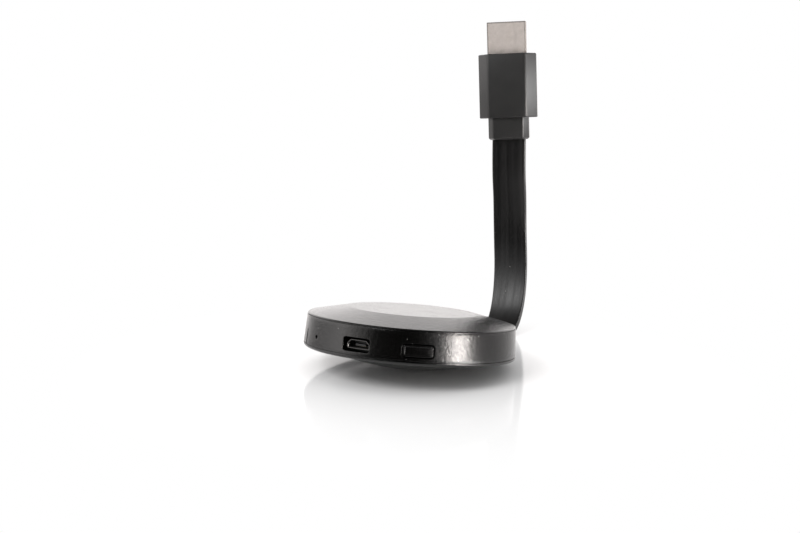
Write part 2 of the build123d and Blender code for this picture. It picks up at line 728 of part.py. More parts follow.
def corner_radii(points):
    """Arc at each inner corner, as large as its two runs allow."""
    radii = []
    for before, here, after in zip(points, points[1:], points[2:]):
        into = here - before
        out = after - here
        half_turn = radians(into.get_angle(out)) / 2
        radii.append(RADIUS_SHARE * min(into.length, out.length) / tan(half_turn))
    return radii


def make_ribbon():
    start = (STANDING * Pos(0, GROMMET_END, CABLE_Z)).position
    lead = (STANDING * Pos(0, GROMMET_END + CABLE_LEAD, CABLE_Z)).position
    bend = [start, lead] + [Vector(*point) for point in CABLE_POINTS[:-1]]
    middle = (bend[-1] + bend[-2]) * 0.5
    flat_route = bend[:-1] + [middle]
    radii = corner_radii(flat_route)
    path = FilletPolyline(*flat_route, radius=radii)
    first = Plane(start, x_dir=(1, 0, 0), z_dir=lead - start) * cable_section()
    ribbon = sweep(first, path=path)
    stations = [middle, bend[-1], Vector(*CABLE_POINTS[-1]), Vector(*PLUG_AT)]
    sections = []
    for index, twist in enumerate(CABLE_TWIST):
        before = stations[max(index - 1, 0)]
        after = stations[index + 1]
        across = (cos(radians(twist)), sin(radians(twist)), 0)
        plane = Plane(stations[index], x_dir=across, z_dir=(after - before).normalized())
        sections.append(plane * cable_section())
    sections.append(Plane(PLUG) * cable_section())
    ribbon += loft(sections)
    upright = sum((b - a).length for a, b in zip(stations, stations[1:]))
    length = path.length + upright
    print("cable starts at", start, "and runs straight to", lead)
    print("cable radii", [round(radius, 1) for radius in radii])
    print("cable length", round(length, 1))
    area = cable_section().area
    print("cable volume over section times length", round(ribbon.volume / (area * length), 4))
    return ribbon


# Plug, in its own frame

def bevelled(width, thick, bevel_w, bevel_t, soft):
    """Rectangle with its four corners cut and its broad faces blended into the cuts."""
    half_w, half_t = width / 2, thick / 2
    quarter = [(half_w, half_t - bevel_t), (half_w - bevel_w, half_t)]
    left = [(-x, y) for x, y in reversed(quarter)]
    upper = quarter + left
    lower = [(-x, -y) for x, y in upper]
    section = Polygon(*(upper + lower), align=None)
    rows = section.vertices().group_by(Axis.Y)
    return fillet(rows[0] + rows[-1], soft)


def hdmi_outline(inset):
    """Shell section, narrower towards the rear face, shrunk by an inset."""
    half_w = HDMI_W / 2 - inset
    half_t = HDMI_T / 2 - inset
    step_w = HDMI_STEP_W - inset * CORNER_SHRINK
    step_t = HDMI_STEP_T - inset * CORNER_SHRINK
    return Polygon(
        (-half_w, -half_t),
        (half_w, -half_t),
        (half_w, half_t - step_t),
        (half_w - step_w, half_t),
        (-half_w + step_w, half_t),
        (-half_w, half_t - step_t),
        align=None,
    )


def make_overmould():
    neck = bevelled(NECK_W, NECK_T, NECK_BEVEL_W, NECK_BEVEL_T, NECK_SOFT)
    neck = extrude(neck, NECK_H)
    neck = chamfer(neck.edges().group_by(Axis.Z)[0], NECK_CHAMFER)
    grip = bevelled(GRIP_W, GRIP_T, GRIP_BEVEL_W, GRIP_BEVEL_T, GRIP_SOFT)
    grip = extrude(grip, GRIP_H)
    ends = grip.edges().group_by(Axis.Z)
    grip = fillet(ends[0] + ends[-1], GRIP_ROUND)
    plug = neck + Pos(0, 0, NECK_H) * grip
    pocket = extrude(hdmi_outline(-HDMI_FIT), HDMI_IN + CUT_MARGIN)
    return plug - Pos(0, 0, SHELL_FOOT) * pocket


def make_hdmi():
    length = HDMI_IN + HDMI_OUT
    shell = extrude(hdmi_outline(0), length)
    shell = fillet(shell.edges().filter_by(Axis.Z), HDMI_BEND)
    shell -= extrude(hdmi_outline(HDMI_SHEET), length)
    for side in (-1, 1):
        dimple = Pos(side * DIMPLE_X, -HDMI_T / 2, HDMI_IN + DIMPLE_UP) * Rot(90, 0, 0)
        shell -= dimple * Cylinder(DIMPLE_R, 2 * DIMPLE_D)
    core_l = length - HDMI_SETBACK
    core = extrude(hdmi_outline(HDMI_SHEET + HDMI_FIT), core_l)
    slot = Pos(0, 0, core_l - HDMI_SLOT_L / 2) * Box(HDMI_SLOT_W, HDMI_SLOT_T, HDMI_SLOT_L)
    contacts = []
    reach = HDMI_SLOT_L - HDMI_SETBACK
    for side, count in HDMI_ROWS:
        for index in range(count):
            x = (index - (count - 1) / 2) * HDMI_PITCH
            y = side * (HDMI_SLOT_T - HDMI_CONTACT_T) / 2
            z = core_l - HDMI_SLOT_L + reach / 2
            contacts.append(Pos(x, y, z) * Box(HDMI_CONTACT_W, HDMI_CONTACT_T, reach))
    seat = Pos(0, 0, SHELL_FOOT)
    return seat * shell, seat * (core - slot), seat * Compound(contacts)


# Write every piece

write("top_cover", make_lid())
write("rim_housing", make_rim())
write("bottom_cover", make_base())

usb_shell, usb_tongue, usb_contacts = make_usb()
write("usb_shell", usb_shell)
write("usb_tongue", usb_tongue)
write("usb_contacts", usb_contacts)

switch_body, switch_plunger = make_switch()
write("button_cap", at_bearing(BUTTON_BEARING, make_button()))
write("switch_body", at_bearing(BUTTON_BEARING, switch_body))
write("switch_plunger", at_bearing(BUTTON_BEARING, switch_plunger))

main_chip, thermal_pad, heat_sink = make_cooling()
wifi_board, wifi_shield = make_radio()
write("main_board", make_board())
write("board_screws", make_board_screws())
write("main_chip", main_chip)
write("thermal_pad", thermal_pad)
write("heat_sink", heat_sink)
write("memory_chips", make_memory())
write("flash_chip", make_flash())
write("wifi_board", wifi_board)
write("wifi_shield", wifi_shield)
write("antenna_strip", make_aerial())
write("crystal", make_crystal())
write("inductors", make_coils())
write("capacitors", make_capacitors())
write("status_led", at_bearing(LIGHT_BEARING, make_led()))

cable_clamp, clamp_screws = make_clamp()
write("cable_grommet", make_grommet())
write("cable_tail", make_tail())
write("cable_wires", make_wires())
write("cable_clamp", cable_clamp)
write("clamp_screws", clamp_screws)
write("ribbon_cable", make_ribbon(), Location())

hdmi_shell, hdmi_insulator, hdmi_contacts = make_hdmi()
write("plug_overmould", make_overmould(), PLUG)
write("hdmi_shell", hdmi_shell, PLUG)
write("hdmi_insulator", hdmi_insulator, PLUG)
write("hdmi_contacts", hdmi_contacts, PLUG)
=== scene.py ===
"""Meshes, finishes and a studio for a round wireless display stick.

The case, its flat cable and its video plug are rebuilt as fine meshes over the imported
solids, and the parts inside the case keep their solids and get finishes of their own.
Lengths are in metres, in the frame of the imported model: Z up from the surface that the
stick stands on, the power socket towards -Y and the cable towards +Y.
"""

import logging
import math
from collections.abc import Callable, Sequence
from dataclasses import dataclass
from enum import Enum

import bmesh
import bpy
import numpy as np
from mathutils import Matrix, Vector


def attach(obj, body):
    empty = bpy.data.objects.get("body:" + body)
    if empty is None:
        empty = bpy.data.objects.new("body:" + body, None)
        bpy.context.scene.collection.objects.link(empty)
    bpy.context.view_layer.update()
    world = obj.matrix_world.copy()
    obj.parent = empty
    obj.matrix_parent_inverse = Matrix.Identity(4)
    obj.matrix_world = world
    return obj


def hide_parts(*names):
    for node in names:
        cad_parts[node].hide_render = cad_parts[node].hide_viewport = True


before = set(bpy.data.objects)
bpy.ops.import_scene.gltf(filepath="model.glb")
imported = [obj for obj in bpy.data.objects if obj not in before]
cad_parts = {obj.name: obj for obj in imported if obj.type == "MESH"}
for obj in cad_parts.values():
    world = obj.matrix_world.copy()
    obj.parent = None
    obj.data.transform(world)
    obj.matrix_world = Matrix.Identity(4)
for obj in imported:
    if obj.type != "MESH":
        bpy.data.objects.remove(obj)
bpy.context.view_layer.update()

MM = 0.001
CASING = "casing"
BUTTON = "button"

Point = tuple[float, float]
Corner = tuple[float, float, float]
Colour = tuple[float, float, float]
Ring = list[Vector]
Piece = bpy.types.Object
Socket = bpy.types.NodeSocket
Feed = Socket | float | Colour
Outline = Callable[[float], list[Point]]

WHITE: Colour = (1.0, 1.0, 1.0)
NOISE_SPAN: Point = (0.3, 0.7)  # where most of a noise lies
SHARP_TURN = 32.0  # degrees from which an edge stays sharp
CUT_SHRINK = 0.4  # how much a cut corner shrinks per distance moved inwards

# (1 - sine, 1 - cosine) at even steps of a quarter turn, for rounding an edge
ARC_STEPS = 4
QUARTER_ARC = [(1 - math.sin(angle), 1 - math.cos(angle))
               for angle in (math.pi / 2 * step / ARC_STEPS for step in range(ARC_STEPS + 1))]

log = logging.getLogger("stick")


# Turns and outlines


def spin(degrees: float, axis: str) -> Matrix:
    """Rotation about an axis."""
    return Matrix.Rotation(math.radians(degrees), 4, axis)


def rounded(corners: Sequence[Corner], steps: int = 6) -> list[Point]:
    """Closed outline with an arc at each corner that has a radius.

    Args:
        corners: (u, v, radius) of each corner, in order.
        steps: Number of short edges along each arc.

    Returns:
        The outline's points, in the same order.
    """
    points: list[Point] = []
    for index, (u, v, radius) in enumerate(corners):
        here = Vector((u, v))
        if radius <= 0:
            points.append((u, v))
            continue
        before = (Vector(corners[index - 1][:2]) - here).normalized()
        after = (Vector(corners[(index + 1) % len(corners)][:2]) - here).normalized()
        half = before.angle(after) / 2
        centre = here + (before + after).normalized() * (radius / math.sin(half))
        start = here + before * (radius / math.tan(half)) - centre
        end = here + after * (radius / math.tan(half)) - centre
        turn = math.atan2(start.x * end.y - start.y * end.x, start.dot(end))
        for step in range(steps + 1):
            arm = start @ Matrix.Rotation(-turn * step / steps, 2)
            points.append((centre.x + arm.x, centre.y + arm.y))
    return points


def rounded_box(width: float, height: float, radius: float) -> list[Point]:
    """Rectangle with round corners, about its middle."""
    u, v = width / 2, height / 2
    return rounded([(u, v, radius), (-u, v, radius), (-u, -v, radius), (u, -v, radius)], 8)


def cut_corners(width: float, thick: float, cut: Point, crisp: float, soft: float) -> list[Point]:
    """Rectangle with its four corners cut off, and the eight edges eased.

    Args:
        width: Size along the first axis.
        thick: Size along the second axis.
        cut: Size of each cut along the width and the thickness.
        crisp: Radius between a narrow side and a cut.
        soft: Radius between a broad face and a cut.

    Returns:
        The outline's points.
    """
    u, v = width / 2, thick / 2
    quarter = [(u, v - cut[1], crisp), (u - cut[0], v, soft)]
    upper = quarter + [(-x, y, radius) for x, y, radius in reversed(quarter)]
    return rounded(upper + [(-x, -y, radius) for x, y, radius in upper], 8)


@dataclass(frozen=True)
class SheetSection:
    """Section of a connector's bent shell, whose two upper corners are cut off."""

    width: float
    height: float
    cut: Point
    bend: float
    least_bend: float

    def moved(self, inset: float) -> list[Point]:
        """Move the section inwards.

        Args:
            inset: Distance of the move.

        Returns:
            The outline's points.
        """
        u, v = self.width / 2 - inset, self.height / 2 - inset
        cut_u, cut_v = (size - inset * CUT_SHRINK for size in self.cut)
        bends = [(-u, -v), (u, -v), (u, v - cut_v), (u - cut_u, v), (-u + cut_u, v), (-u, v - cut_v)]
        return rounded([(x, y, max(self.bend - inset, self.least_bend)) for x, y in bends])


# Meshes


def put(name: str, data: bpy.types.ID) -> Piece:
    """Link new data into the scene.

    Args:
        name: Name of the object.
        data: The mesh, curve, lamp or camera.

    Returns:
        The new object.
    """
    piece = bpy.data.objects.new(name, data)
    bpy.context.scene.collection.objects.link(piece)
    return piece


def smooth(mesh: bpy.types.Mesh) -> None:
    """Shade a mesh smooth but for edges that turn sharply."""
    mesh.shade_smooth()
    mesh.set_sharp_from_angle(angle=math.radians(SHARP_TURN))


def skin(name: str, rings: Sequence[Ring], hoop: bool = False) -> Piece:
    """Closed surface over rings that have the same number of points.

    Args:
        name: Name of the piece.
        rings: The rings, from one end to the other.
        hoop: True if the last ring joins the first; else both ends are capped.

    Returns:
        The new object.
    """
    count = len(rings[0])
    shell = bmesh.new()
    grid = [[shell.verts.new(point) for point in ring] for ring in rings]
    pairs = list(zip(grid, grid[1:])) + ([(grid[-1], grid[0])] if hoop else [])
    for low, high in pairs:
        for here in range(count):
            there = (here + 1) % count
            shell.faces.new((low[here], low[there], high[there], high[here]))
    if not hoop:
        shell.faces.new(reversed(grid[0]))
        shell.faces.new(grid[-1])
    bmesh.ops.remove_doubles(shell, verts=shell.verts, dist=1e-8)
    bmesh.ops.recalc_face_normals(shell, faces=shell.faces)
    mesh = bpy.data.meshes.new(name)
    shell.to_mesh(mesh)
    shell.free()
    smooth(mesh)
    return put(name, mesh)


def lathe(name: str, profile: Sequence[Point], segments: int = 288) -> Piece:
    """Solid of revolution about Z from a closed profile.

    Args:
        name: Name of the piece.
        profile: (radius, height) points round the profile.
        segments: Facets round the axis.

    Returns:
        The new object.
    """
    rings: list[Ring] = []
    for step in range(segments):
        angle = 2 * math.pi * step / segments
        rings.append([Vector((r * math.sin(angle), -r * math.cos(angle), z)) for r, z in profile])
    return skin(name, rings, hoop=True)


def level_ring(outline: Sequence[Point], height: float) -> Ring:
    """An outline laid flat at a height."""
    return [Vector((u, v, height)) for u, v in outline]


def upright_ring(outline: Sequence[Point], distance: float, height: float) -> Ring:
    """An outline stood upright about a height, at a distance from the axis towards -Y."""
    return [Vector((u, -distance, height + v)) for u, v in outline]


def carve(body: Piece, cutters: Sequence[Piece]) -> None:
    """Cut closed shapes out of a piece and remove them.

    Args:
        body: The piece.
        cutters: The shapes to cut away.
    """
    for cutter in cutters:
        cut = body.modifiers.new("cut", "BOOLEAN")
        cut.operation, cut.solver, cut.object = "DIFFERENCE", "EXACT", cutter
    graph = bpy.context.evaluated_depsgraph_get()
    mesh = bpy.data.meshes.new_from_object(body.evaluated_get(graph))
    body.modifiers.clear()
    body.data = mesh
    smooth(mesh)
    for cutter in cutters:
        bpy.data.objects.remove(cutter)


def merge(body: Piece, other: Piece) -> None:
    """Make another piece part of one, as a separate shell.

    Args:
        body: The piece that stays.
        other: The piece that becomes part of it.
    """
    joined = bmesh.new()
    for piece in (body, other):
        joined.from_mesh(piece.data)
    joined.to_mesh(body.data)
    joined.free()
    bpy.data.objects.remove(other)


# Finishes


class Graph:
    """A node tree under construction."""

    def __init__(self, tree: bpy.types.NodeTree) -> None:
        """Work on a tree."""
        self.nodes, self.links = tree.nodes, tree.links

    def feed(self, target: Socket, source: Feed) -> None:
        """Link a socket to another, or give it a value or colour.

        Args:
            target: The socket.
            source: What it gets.
        """
        if isinstance(source, bpy.types.NodeSocket):
            self.links.new(source, target)
        else:
            target.default_value = (*source, 1) if target.type == "RGBA" else source

    def add(self, kind: str, *feeds: Feed, out: str | int = 0, named: dict[str | int, Feed] | None = None,
            **settings: str) -> Socket:
        """Add a node.

        Args:
            kind: Its type, without ShaderNode.
            feeds: What its first sockets get, in order.
            out: The output to return.
            named: What other sockets get, by name or number.
            settings: Its own choices, such as its operation.

        Returns:
            The output.
        """
        node = self.nodes.new(f"ShaderNode{kind}")
        for name, value in settings.items():
            setattr(node, name, value)
        for key, source in (dict(enumerate(feeds)) | (named or {})).items():
            self.feed(node.inputs[key], source)
        return node.outputs[out]

    def math(self, operation: str, first: Socket, second: Socket | float) -> Socket:
        """Arithmetic on two values."""
        return self.add("Math", first, second, operation=operation)

    def remap(self, source: Socket, low: float, high: float, to_low: float = 0, to_high: float = 1,
              blend: str = "LINEAR") -> Socket:
        """Stretch a value from one range to another, held at its ends.

        Args:
            source: The value.
            low: Start of its range.
            high: End of its range.
            to_low: What the start becomes.
            to_high: What the end becomes.
            blend: How it goes from one to the other.

        Returns:
            The new value.
        """
        return self.add("MapRange", source, low, high, to_low, to_high, interpolation_type=blend)

    def ramp(self, along: Socket, stops: Sequence[tuple[float, Colour]],
             blend: str = "LINEAR") -> Socket:
        """Colour that changes along a value.

        Args:
            along: The value, from 0 to 1.
            stops: Each colour and where it lies.
            blend: How one colour goes over into the next.

        Returns:
            The colour.
        """
        colour = self.add("ValToRGB", along)
        bar = colour.node.color_ramp
        bar.interpolation = blend
        for _ in stops[2:]:
            bar.elements.new(0.5)
        for element, (place, shade) in zip(bar.elements, stops):
            element.position, element.color = place, (*shade, 1)
        return colour

    def room(self, direction: Socket, levels: Sequence[Point]) -> Socket:
        """Brightness of the room as glossy faces see it, by bearing.

        Args:
            direction: Direction from the stick, or a place on the table.
            levels: (bearing, brightness) round the stick.

        Returns:
            The brightness.
        """
        split = self.add("SeparateXYZ", direction).node.outputs
        bearing = self.math("ARCTAN2", split["X"], self.math("MULTIPLY", split["Y"], -1))
        peak = max(level for _, level in levels)
        stops = [((angle + 180) / 360, (level / peak,) * 3) for angle, level in levels]
        share = self.remap(bearing, -math.pi, math.pi)
        return self.math("MULTIPLY", self.ramp(share, stops), peak)


PLAIN_SOCKETS = {"gloss": "Specular IOR Level", "metallic": "Metallic"}


class Recipe(Graph):
    """A node material under construction, with its textures in the piece's own space."""

    def __init__(self, name: str) -> None:
        """Start from a plain surface shader.

        Args:
            name: Name of the material.
        """
        self.material = bpy.data.materials.new(name)
        self.material.use_nodes = True
        super().__init__(self.material.node_tree)
        self.shader = self.nodes["Principled BSDF"]
        self.place = self.add("TexCoord", out="Object")

    def noise(self, size: float, detail: float = 2.0, stretch: Colour = WHITE,
              place: Socket | None = None) -> Socket:
        """Noise whose features are about one size.

        Args:
            size: Size of the features, in metres.
            detail: Number of finer layers.
            stretch: Scale of the space along each axis before the noise.
            place: Space to use in place of the piece's own.

        Returns:
            The noise, from 0 to 1.
        """
        spot = self.add("Mapping", place or self.place, named={"Scale": stretch})
        return self.add("TexNoise", spot, named={"Scale": 1 / size, "Detail": detail})

    def swing(self, noise: Socket, low: float, high: float) -> Socket:
        """Bring the usual span of a noise to a range."""
        return self.remap(noise, *NOISE_SPAN, low, high)

    def tint(self, factor: Socket, first: Socket | Colour, second: Colour) -> Socket:
        """Blend from one colour, or a socket that gives it, to another."""
        return self.add("Mix", factor, out=2, named={6: first, 7: second}, data_type="RGBA")

    def specks(self, cell: float, size: float, share: float) -> Socket:
        """Scattered round dots.

        Args:
            cell: Usual distance between places where a dot may lie.
            size: Radius of a dot.
            share: Share of the places that have one.

        Returns:
            1 on a dot and 0 elsewhere.
        """
        far = self.add("TexVoronoi", self.place, named={"Scale": 1 / cell})
        near = self.remap(far, size / cell * 0.6, size / cell, 1, 0)
        chance = self.add("SeparateColor", far.node.outputs["Color"])
        return self.math("MULTIPLY", near, self.math("LESS_THAN", chance, share))

    def surface(self, colour: Feed, rough: Feed, height: Socket | None = None, depth: float = 0,
                **plain: float) -> bpy.types.Material:
        """Finish the shader.

        Args:
            colour: Its colour.
            rough: Its roughness.
            height: Height of its bumps, from 0 to 1.
            depth: Real height, in metres, of 1.
            plain: Metallic or gloss, where it isn't the usual.

        Returns:
            The material.
        """
        sockets = self.shader.inputs
        self.feed(sockets["Base Color"], colour)
        self.feed(sockets["Roughness"], rough)
        if height:
            bump = {"Height": height, "Distance": depth, "Strength": 1}
            self.feed(sockets["Normal"], self.add("Bump", named=bump))
        for name, value in plain.items():
            sockets[PLAIN_SOCKETS[name]].default_value = value
        return self.material


def scaled(colour: Colour, gain: float) -> Colour:
    """A colour made paler or darker."""
    return tuple(channel * gain for channel in colour)


@dataclass(frozen=True)
class MouldedPlastic:
    """Plastic straight from the mould, with a fine grain, a faint cloudiness and some dust."""

    name: str
    colour: Colour
    roughness: float
    grain: float = 0.16 * MM
    grain_depth: float = 0.004 * MM
    dust: float = 0.0
    mottle: float = 0.0
    mottle_size: float = 3.4
    cloud_size: float = 7 * MM
    cloud_gain: float = 1.25
    dust_size: Point = (1.5 * MM, 0.16 * MM)
    dust_colour: Colour = (0.22, 0.21, 0.2)

    def material(self) -> bpy.types.Material:
        """Build the node material.

        Returns:
            The material.
        """
        recipe = Recipe(self.name)
        cloud, fine = recipe.noise(self.cloud_size, 3), recipe.noise(self.grain)
        body = recipe.tint(recipe.swing(cloud, 0, 1), self.colour, scaled(self.colour, self.cloud_gain))
        if self.dust:
            body = recipe.tint(recipe.specks(*self.dust_size, self.dust), body, self.dust_colour)
        rough = recipe.math("ADD", recipe.swing(cloud, -0.012, 0.012),
                            recipe.swing(fine, self.roughness - 0.04, self.roughness + 0.05))
        coarse = recipe.math("MULTIPLY", recipe.noise(self.mottle_size * self.grain), self.mottle)
        return recipe.surface(body, rough, recipe.math("ADD", fine, coarse), self.grain_depth)


@dataclass(frozen=True)
class CableJacket:
    """Extruded flat jacket with faint lines along its length."""

    name: str
    colour: Colour
    roughness: float
    gloss: float
    line_size: float = 1.3 * MM
    line_gain: float = 1.8
    line_depth: float = 0.02 * MM
    scuff_size: float = 0.8 * MM
    lint_size: Point = (2.2 * MM, 0.12 * MM)
    lint_share: float = 0.12
    lint_colour: Colour = (0.5, 0.48, 0.46)

    def material(self) -> bpy.types.Material:
        """Build the node material.

        Returns:
            The material.
        """
        recipe = Recipe(self.name)
        along = recipe.add("TexCoord", out="UV")
        lines = recipe.noise(self.line_size, 1, (1.0, 0.008, 1.0), along)
        scuffs = recipe.noise(self.scuff_size, 3)
        pale = scaled(self.colour, self.line_gain)
        body = recipe.tint(recipe.remap(lines, 0.35, 0.65), self.colour, pale)
        body = recipe.tint(recipe.specks(*self.lint_size, self.lint_share), body, self.lint_colour)
        rough = recipe.math("ADD", recipe.swing(lines, -0.02, 0.08),
                            recipe.swing(scuffs, self.roughness - 0.02, self.roughness + 0.04))
        return recipe.surface(body, rough, lines, self.line_depth, gloss=self.gloss)


@dataclass(frozen=True)
class Metal:
    """Plated or drawn sheet, with fine lines one way, duller stains and painted shade on its convex edges
    and bends.
    """

    name: str
    colour: Colour
    roughness: float
    stain: Colour
    stain_size: float = 2.5 * MM
    stain_share: float = 0.6
    lines: Colour = (1.0, 1.0, 12.0)
    line_size: float = 0.25 * MM
    line_depth: float = 0.0015 * MM
    # painted shade on convex edges and bends: how strong it is, and how dark it gets against the stain
    # colour
    painted_edge_shade: float = 0.8
    painted_edge_gain: float = 0.3

    def material(self) -> bpy.types.Material:
        """Build the node material.

        Returns:
            The material.
        """
        recipe = Recipe(self.name)
        blot = recipe.noise(self.stain_size, 4)
        brush = recipe.noise(self.line_size, 2, self.lines)
        stains = recipe.remap(blot, 0.42, 0.68, 0, self.stain_share)
        stained = recipe.tint(stains, self.colour, self.stain)
        # painted shade: sharp convex edges and bends, found by pointiness, are darkened towards a dark
        # copy of the stain colour
        edge_shade_mask = recipe.remap(recipe.add("NewGeometry", out="Pointiness"), 0.501, 0.512, 0, self.painted_edge_shade)
        edge_shaded = recipe.tint(edge_shade_mask, stained, scaled(self.stain, self.painted_edge_gain))
        rough = recipe.math("ADD", recipe.remap(blot, 0.35, 0.7, -0.04, 0.10),
                            recipe.swing(brush, self.roughness - 0.05, self.roughness + 0.05))
        return recipe.surface(edge_shaded, rough, brush, self.line_depth, metallic=1.0)


@dataclass(frozen=True)
class Laminate:
    """Solder-masked circuit board with a faint web of tracks under the mask."""

    name: str
    colour: Colour
    track: Colour
    track_pitch: float = 2.4 * MM
    track_depth: float = 0.02 * MM

    def material(self) -> bpy.types.Material:
        """Build the node material.

        Returns:
            The material.
        """
        recipe = Recipe(self.name)
        web = recipe.add("TexVoronoi", recipe.place, out="Distance", named={"Scale": 1 / self.track_pitch},
                         feature="DISTANCE_TO_EDGE")
        tracks = recipe.remap(web, 0.04, 0.08, 1, 0)
        rough = recipe.swing(recipe.noise(1.5 * MM), 0.3, 0.45)
        body = recipe.tint(tracks, self.colour, self.track)
        return recipe.surface(body, rough, tracks, self.track_depth)


@dataclass(frozen=True)
class WireJackets:
    """Row of thin wires, each in one of several colours by its place across the row."""

    name: str
    pitch: float
    colours: tuple[Colour, ...]

    def material(self) -> bpy.types.Material:
        """Build the node material.

        Returns:
            The material.
        """
        recipe = Recipe(self.name)
        slots = len(self.colours)
        half = self.pitch * slots / 2
        across = recipe.remap(recipe.add("SeparateXYZ", recipe.place), -half, half)
        stops = [(index / slots, colour) for index, colour in enumerate(self.colours)]
        shade = recipe.swing(recipe.noise(1.2 * MM), 0, 0.25)
        body = recipe.tint(shade, recipe.ramp(across, stops, "CONSTANT"), (0.02, 0.02, 0.02))
        return recipe.surface(body, recipe.swing(recipe.noise(0.6 * MM), 0.4, 0.55))


class Finish(Enum):
    """The finishes of the stick's pieces."""

    CASE = MouldedPlastic("case_plastic", (0.0012, 0.0011, 0.001), 0.2, 0.3 * MM, 0.04 * MM, 0.4, 1.4)
    BUTTON = MouldedPlastic("button_plastic", (0.0012, 0.0011, 0.001), 0.21, 0.3 * MM, 0.03 * MM, 0.2, 1.4)
    GRIP = MouldedPlastic("grip_plastic", (0.011, 0.0105, 0.0102), 0.4, 0.3 * MM, 0.02 * MM, 0.02)
    GROMMET = MouldedPlastic("grommet_rubber", (0.022, 0.022, 0.023), 0.5)
    CLAMP = MouldedPlastic("clamp_plastic", (0.04, 0.04, 0.042), 0.5)
    CORE = MouldedPlastic("connector_core", (0.014, 0.014, 0.015), 0.38)
    CHIP = MouldedPlastic("chip_epoxy", (0.028, 0.028, 0.03), 0.55, 0.1 * MM)
    PAD = MouldedPlastic("thermal_pad", (0.42, 0.45, 0.5), 0.75, 0.3 * MM)
    SWITCH = MouldedPlastic("switch_plastic", (0.8, 0.79, 0.75), 0.4)
    COIL = MouldedPlastic("coil_ferrite", (0.14, 0.14, 0.15), 0.6, 0.2 * MM)
    CERAMIC = MouldedPlastic("ceramic", (0.56, 0.42, 0.28), 0.45, 0.1 * MM)
    LENS = MouldedPlastic("light_lens", (0.06, 0.06, 0.065), 0.2, 0.5 * MM, 0.001 * MM)
    CABLE = CableJacket("cable_jacket", (0.0015, 0.0013, 0.0013), 0.325, 0.45)
    PLUG_METAL = Metal("plug_nickel", (0.56, 0.515, 0.485), 0.52, (0.38, 0.345, 0.32), 3.0 * MM)
    SOCKET_METAL = Metal("socket_tin", (0.42, 0.41, 0.4), 0.36, (0.27, 0.265, 0.255))
    STEEL = Metal("screw_steel", (0.56, 0.56, 0.57), 0.28, (0.38, 0.37, 0.36), 1.0 * MM)
    GOLD = Metal("contact_gold", (0.86, 0.65, 0.3), 0.2, (0.6, 0.42, 0.18), 0.5 * MM)
    COPPER = Metal("aerial_copper", (0.75, 0.42, 0.26), 0.3, (0.45, 0.24, 0.14))
    SINK = Metal("sink_aluminium", (0.74, 0.75, 0.76), 0.3, (0.6, 0.61, 0.62), 4 * MM, 0.5, (1, 12, 1))
    BOARD = Laminate("board_mask", (0.005, 0.009, 0.007), (0.012, 0.022, 0.017))
    WIRES = WireJackets(
        "wire_jackets", 1.1 * MM,
        ((0.5, 0.03, 0.02), (0.02, 0.02, 0.02), (0.6, 0.6, 0.6), (0.05, 0.3, 0.07), (0.55, 0.3, 0.03),
         (0.04, 0.08, 0.4), (0.6, 0.5, 0.05), (0.3, 0.12, 0.05), (0.35, 0.1, 0.4)),
    )


class Wardrobe:
    """Builds each finish's material once and gives pieces their finish and body."""

    def __init__(self) -> None:
        """Start with no material built."""
        self.materials: dict[Finish, bpy.types.Material] = {}

    def dress(self, piece: Piece, finish: Finish) -> None:
        """Give a piece one finish all over.

        Args:
            piece: The piece, new or packed.
            finish: Its finish.
        """
        if finish not in self.materials:
            self.materials[finish] = finish.value.material()
        if not piece.material_slots:
            piece.data.materials.append(None)
        for slot in piece.material_slots:
            slot.material = self.materials[finish]

    def seat(self, piece: Piece, finish: Finish, body: str, slot: str, *nodes: str) -> None:
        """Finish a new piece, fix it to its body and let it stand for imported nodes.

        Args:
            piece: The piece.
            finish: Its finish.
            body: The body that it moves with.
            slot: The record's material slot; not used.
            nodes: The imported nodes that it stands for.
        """
        self.dress(piece, finish)
        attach(piece, body)
        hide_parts(*nodes)
        log.info("%s: %d faces, %s", piece.name, len(piece.data.polygons), finish.value.name)

    def keep(self, node: str, finish: Finish) -> None:
        """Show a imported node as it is, in a finish of its own."""
        self.dress(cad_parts[node], finish)
        log.info("%s: packed solid, %s", node, finish.value.name)


# The case


